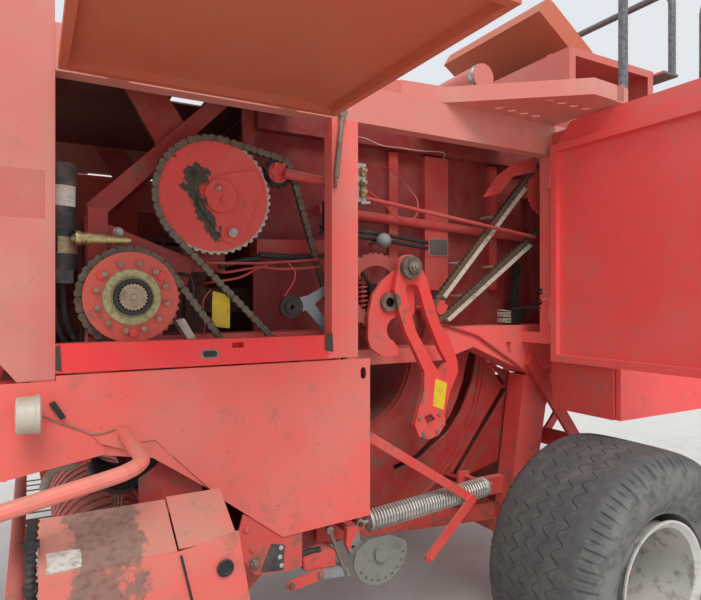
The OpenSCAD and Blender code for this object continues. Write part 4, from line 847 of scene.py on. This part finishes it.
# ---------------- knotter drive bay
# brass fittings one over another on their grey bar
bm = bmesh.new()
for z, h in ((2028, 36), (1988, 26), (1948, 34)):
    add_turned(bm, at(938, 640, z), (0, 0, 1), [(0, 12), (3, 14), (h - 6, 14), (h - 3, 10), (h, 10)], 12)
    add_turned(bm, at(938, 640, z + h / 2), LEFT, [(0, 9), (18, 9), (19, 6), (26, 6)], 10)
piece("grease_fittings", bm, brass)
bm = bmesh.new()
post(bm, ((922, 618), (958, 618), (958, 636), (922, 636)), 1918, 2078)
slab(bm, ((918, 1920), (958, 1916), (958, 1926), (918, 1930)), 636, 662)
add_loft(bm, [[at(950, y, z) for y, z in ((618, 2036), (634, 2036), (634, 2050), (618, 2050))],
              [at(1038, y, z) for y, z in ((646, 2036), (662, 2036), (662, 2050), (646, 2050))]])
piece("fitting_bar", bm, steel, smooth=False)

# grey accumulator knob on the chamber wall
bm = bmesh.new()
add_turned(bm, at(767, 412, 1799), LEFT,
           [(0, 9), (74, 9), (75, 14), (80, 14)]
           + [(108 - 32 * math.cos(math.radians(a)), max(2, 32 * math.sin(math.radians(a))))
              for a in range(25, 181, 15)], 24)
piece("round_knob", bm, grey)

# thin bent grease line in front of the wall, dusty wire under the beam
hoses("bent_line", [
    [(700, 410, 2130), (692, 470, 2112), (663, 560, 2013), (648, 590, 1969), (650, 600, 1924),
     (663, 600, 1896), (691, 600, 1878), (728, 600, 1878), (771, 600, 1901), (828, 600, 1945),
     (926, 622, 1990)],
], 3.2, rods_paint, 8)
hoses("dusty_wire", [
    [(880, 410, 2240), (845, 480, 2229), (760, 490, 2206), (661, 500, 2204), (557, 500, 2205),
     (438, 500, 2212), (400, 452, 2200)],
], 2.0, twine, 6)

# blank dark label with its pale border on the strap
plate_on("strap_label", [(484, 453, 1829), (376, 453, 1829), (376, 453, 1751), (484, 453, 1751)],
         zinc, thick=0.8, inset=0.90, inner=dark_plate)

# yellow blank sticker on the crank's arm
plate_on("sticker_crank", [(608, 664, 1228), (548, 664, 1206), (566, 664, 1095), (622, 664, 1118)],
         sticker, thick=0.6)

bolts("crank_bolt", [(737, 700, 1680)], LEFT, rusty, "red_frame", across=34, head=13, stud=8)
bolts("socket_bolts", [(590, 664, 1080), (600, 664, 1010), (668, 664, 1010), (690, 664, 1072)], LEFT,
      rusty, "red_frame", across=15, head=6, washer=False)

# knotter twine: two plugs in the post with the strings that run to the twine box
bm = bmesh.new()
for y, z in ((659, 1589), (656, 1541)):
    add_turned(bm, at(0, y, z), (1, 0, 0), [(0, 14), (4, 14), (6, 11), (6.5, 5)], 16)
piece("twine_plugs", bm, plastic)
hoses("twine_strings", [
    [(4, 659, 1589), (10, 700, 1588), (-10, 760, 1585)],
    [(4, 656, 1541), (10, 700, 1556), (-10, 760, 1573)],
], 1.8, twine, 6)

# black comb with its pale bristles on an arm
bm = bmesh.new()
add_loft(bm, [[at(x, y, 1433) for x, y in ((-26, 470), (40, 470), (40, 520), (-26, 520))],
              [at(x, y, 1505) for x, y in ((-52, 470), (30, 470), (30, 520), (-52, 520))]])
add_loft(bm, [[at(x, y, 1500) for x, y in ((-14, 480), (22, 480), (22, 508), (-14, 508))],
              [at(x, y, 1730) for x, y in ((-32, 480), (4, 480), (4, 508), (-32, 508))]])
slab(bm, ((-30, 1450), (10, 1450), (10, 1485), (-30, 1485)), 411, 475)
bmesh.ops.bevel(bm, geom=bm.edges[:], offset=0.004, segments=2, affect="EDGES")
piece("comb_arm", bm, plastic)
bm = bmesh.new()
for k in range(9):
    for j in range(3):
        z = 1440 + 7 * k
        y = 478 + 16 * j
        add_tube(bm, [at(38, y, z), at(92, y - 4 + 2 * (k % 3), z + 6 - (k % 4) * 2)], 0.0016, 5)
piece("comb_bristles", bm, twine)
hoses("comb_cable", [
    [(30, 512, 1506), (10, 560, 1512), (-5, 640, 1515), (-14, 735, 1502)],
], 8, plastic, 10)

# coil spring in the open ring sprocket
coil = []
for k in range(12 * 11 + 1):
    a = 2 * math.pi * k / 12
    z = 1430 + 205 * k / (12 * 11)
    coil.append(at(885 + 24 * math.cos(a), 548 + 24 * math.sin(a), z))
bm = bmesh.new()
add_tube(bm, coil, 0.005, 8)
add_tube(bm, [at(885, 548, 1400), at(885, 548, 1660)], 0.008, 8)
piece("ring_spring", bm, red_inner)

# ---------------- wheels and lower parts
for side, name in SIDES:
    out = (0, side, 0)
    face = side * (AXLE_Y - 52)
    bm = bmesh.new()
    for x, y, z in around(0, AXLE_Z, 132, face, range(0, 360, 45)):
        add_bolt(bm, at(x, y, z), out, across=27, head=14, stud=10)
    piece("wheel_nuts_" + name, bm, steel, "wheel_" + name)
    bm = bmesh.new()
    add_turned(bm, at(0, side * (AXLE_Y + 30), AXLE_Z), out,
               [(0, 57), (5, 57), (7, 53), (14, 50), (18, 40), (19, 8)], 32)
    piece("hub_cap_" + name, bm, red_frame, "wheel_" + name)
    bm = bmesh.new()
    add_turned(bm, at(120, face, AXLE_Z + 130), out,
               [(0, 5), (18, 5), (19, 4), (32, 4), (33, 5), (42, 5)], 10)
    piece("valve_" + name, bm, plastic, "wheel_" + name)

# bracket below the lower panel with its blank data plate and three pale rivets
bm = bmesh.new()
slab(bm, ((1400, 812), (1225, 760), (1225, 612), (1296, 612), (1398, 623), (1437, 676), (1458, 769),
          (1440, 835)), 700, 708)
piece("plate_bracket", bm, red_frame, smooth=False)
bolts("bracket_bolts", [(1431, 708, 781), (1408, 708, 710)], LEFT, red_frame, "red_frame",
      across=16, head=6)
bolts("bracket_nut", [(1401, 708, 664)], LEFT, rusty, "bright_steel", across=30, head=11, stud=5)
plate_on("data_plate", [(1341, 708, 717), (1290, 708, 703), (1296, 708, 616), (1381, 708, 627)],
         dark_plate, thick=1.0)
bm = bmesh.new()
for x, z in ((1305, 696), (1309, 665), (1303, 635)):
    add_turned(bm, at(x, 709, z), LEFT, [(0, 8), (1.5, 8), (2.5, 5)], 16)
piece("data_plate_rivets", bm, cream)

# hydraulic pipe with its elbow, and the dusty rod beside it
bm = bmesh.new()
add_tube(bm, smooth_path([at(x, 690, z) for x, z in ((1275, 760), (1278, 685), (1264, 654), (1233, 645),
                                                     (1193, 653), (1160, 650))]), 0.0095, 12)
add_turned(bm, at(1195, 690, 653), (-1, 0, -0.1),
           [(0, 11), (16, 11), (17, 9), (34, 9), (35, 12), (48, 12)], 6)
piece("pipe_elbow", bm, hose)
bm = bmesh.new()
add_tube(bm, [at(1113, 700, 716), at(1045, 700, 540)], 0.008, 12)
add_turned(bm, at(1114, 690, 718), LEFT, [(0, 14), (20, 14), (21, 10)], 16)
piece("set_rod", bm, rusty)
bm = bmesh.new()
slab(bm, ((1218, 638), (1121, 652), (1088, 640), (1088, 579), (1214, 589)), 640, 700)
bmesh.ops.bevel(bm, geom=bm.edges[:], offset=0.003, segments=2, affect="EDGES")
piece("valve_block", bm, red_frame)

# rounded red link with a bolt at either end, on the grey block of the trip
bm = bmesh.new()
u = (Vector((1156 - 1266, 570 - 556))).normalized()
shape = []
for cx, cz, a0 in ((1156, 570, -90), (1266, 556, 90)):
    for a in range(0, 181, 30):
        t = math.radians(a0 + a)
        shape.append((cx + 19 * (u.x * math.cos(t) - u.y * math.sin(t)),
                      cz + 19 * (u.y * math.cos(t) + u.x * math.sin(t))))
slab(bm, shape, 704, 712)
piece("lift_link", bm, red_frame, smooth=False)
bolts("link_bolts", [(1156, 712, 570), (1266, 712, 556)], LEFT, rusty, "bright_steel",
      across=19, head=8)
bm = bmesh.new()
slab(bm, ((1150, 584), (1044, 572), (1022, 530), (1139, 544)), 660, 704)
bmesh.ops.bevel(bm, geom=bm.edges[:], offset=0.003, segments=2, affect="EDGES")
piece("trip_block", bm, grey)

# black plug and the seam of the pickup's side shield
for side, name in SIDES:
    bm = bmesh.new()
    add_turned(bm, at(1622, side * 1111, 861), (0, side, 0),
               [(0, 22), (3, 22), (4.5, 20), (4.6, 15), (3.2, 13), (3.2, 1)], 28)
    piece("shield_plug_" + name, bm, plastic, "pickup")
    bm = bmesh.new()
    slab(bm, ((1737, 917), (1731, 917), (1690, 738), (1696, 738)), side * 1111.6, side * 1112.4)
    piece("shield_seam_" + name, bm, plastic, "pickup", smooth=False)
    # sheet ahead of the lower panel, and the strip that carries its edge down behind the tube
    bm = bmesh.new()
    sheet = ((1865, 1092), (2134, 1049), (2300, 1020), (2300, 1318), (1985, 1318), (2010, 1281), (1872, 1119))
    lip = ((1690, 1034), (1730, 1062), (1880, 1090), (1889, 1119), (1724, 1118), (1600, 985), (1560, 942))
    for shape, y in ((sheet, 711.5), (lip, 706.5)):
        slab(bm, shape, side * y, side * (y + 3))
    piece("front_skirt_" + name, bm, panel_low, smooth=False)

# sheet that guides the crop over the reel
bm = bmesh.new()
slab(bm, ((1500, 760), (1640, 862), (1760, 915), (1760, 919), (1638, 866), (1498, 764)), -640, 640)
slab(bm, ((1494, 430), (1500, 430), (1500, 762), (1494, 762)), -640, 640)
piece("crop_guide", bm, red_inner, "pickup", smooth=False)
bm = bmesh.new()
wing = ((1560, 860), (1760, 860), (1762, 985), (1705, 1020), (1690, 1042), (1580, 1042), (1560, 1000))
for side in (1, -1):
    slab(bm, wing, side * 640, side * 644)
piece("pickup_wings", bm, red_inner, "pickup", smooth=False)
bm = bmesh.new()
slab(bm, ((-46, 560), (-42, 560), (-42, 1165), (-46, 1165)), -396, 396)
piece("axle_sheet", bm, red_inner, smooth=False)

# ribbed hose down the front of the shield, held by two clips
bm = bmesh.new()
line = smooth_path([at(x, 1062, z) for x, z in ((2056, 1046), (2061, 980), (2061, 900), (2060, 830),
                                                (2058, 770))], 0.004)
add_tube(bm, line, 0.013, 12, radii=[0.0145 if k % 4 < 2 else 0.0115 for k in range(len(line))])
for z in (985, 885):
    post(bm, ((2042, 1052), (2077, 1052), (2077, 1072), (2042, 1072)), z, z + 14)
piece("ribbed_hose", bm, hose, "pickup")

# oblong grommet in the sill, worn end of the sill and the greasy foot of the post
for side, name in SIDES:
    bm = bmesh.new()
    for w, h, y0, y1, mat in ((29, 15, 715, 715.8, 0), (23, 10, 715.8, 716.6, 1)):
        rim = [(1553 + sx * (w - h) + h * math.cos(a), 1376 + h * math.sin(a))
               for sx, a0 in ((1, -90), (-1, 90)) for a in (math.radians(a0 + 15 * k) for k in range(13))]
        slab(bm, rim, side * y0, side * y1, mat)
    for x0, x1, z0, z1, y1 in ((1982, 1998, 1344, 1421, 717), (1107, 1139, 1364, 1431, 719)):
        foot = ((x0, z0), (x1, z0 + 6), (x1, z1 - 4), (x0 + 4, z1))
        slab(bm, foot, side * 715, side * y1, 2)
    piece("sill_details_" + name, bm, [worn_rim, plastic, chain], smooth=False)

# lamp cable and its plug
hoses("lamp_cable", [
    [(2036, 745, 1226), (2020, 722, 1216), (1960, 718, 1186), (1912, 718, 1162), (1895, 725, 1158),
     (1862, 725, 1160), (1836, 725, 1168)],
], 2.4, tan_bolt, 8)
bm = bmesh.new()
slab(bm, ((2000, 1262), (1972, 1215), (1984, 1207), (2014, 1255)), 711, 727)
piece("lamp_plug", bm, plastic, smooth=False)
bm = bmesh.new()
for side in (1, -1):
    add_turned(bm, at(2034, side * 790, 1241), (1, 0, 0), [(0, 44), (4, 53), (14, 54), (15, 50)], 32)
    add_turned(bm, at(2084, side * 790, 1241), (1, 0, 0),
               [(0, 50), (6, 50), (10, 47), (12, 40), (13, 10)], 32)
piece("lamp_rims", bm, cream)

# hoses behind the skirt, above the pickup
hoses("front_hoses", [[(1915, 430 + 13 * k, 1080 + 5 * k), (1870, 425 + 13 * k, 1010 - 8 * k),
                       (1805, 420 + 13 * k, 975 - 11 * k), (1730, 420 + 13 * k, 985 - 8 * k),
                       (1650, 415 + 12 * k, 1060), (1600, 412 + 12 * k, 1180)] for k in range(7)],
      10, hose, 8)
hoses("pale_hose", [
    [(2024, 420, 925), (2008, 420, 970), (1975, 420, 996), (1930, 420, 1001), (1905, 420, 1070)],
], 15, pale_rubber, 12)

# ---------------- light and floor
world = bpy.data.worlds.new("world")
scene.world = world
world.use_nodes = True
sky = world.node_tree.nodes["Background"]
sky.inputs["Color"].default_value = (0.86, 0.90, 0.95, 1)
sky.inputs["Strength"].default_value = 0.90

sun = bpy.data.lights.new("sun", "SUN")
sun.energy, sun.angle = 1.8, 0.5
sun_ob = bpy.data.objects.new("sun", sun)
scene.collection.objects.link(sun_ob)
sun_ob.rotation_euler = (math.radians(-38), math.radians(8), 0)

floor_mesh = bpy.data.meshes.new("floor")
low = at(0, 0, 0).z
floor_mesh.from_pydata([(-30, -30, low), (30, -30, low), (30, 30, low), (-30, 30, low)], [], [(0, 1, 2, 3)])
floor = bpy.data.objects.new("floor", floor_mesh)
scene.collection.objects.link(floor)
floor_mesh.materials.append(plain("floor", (0.62, 0.60, 0.56), (0.56, 0.54, 0.50), rough=0.8, scale=3))
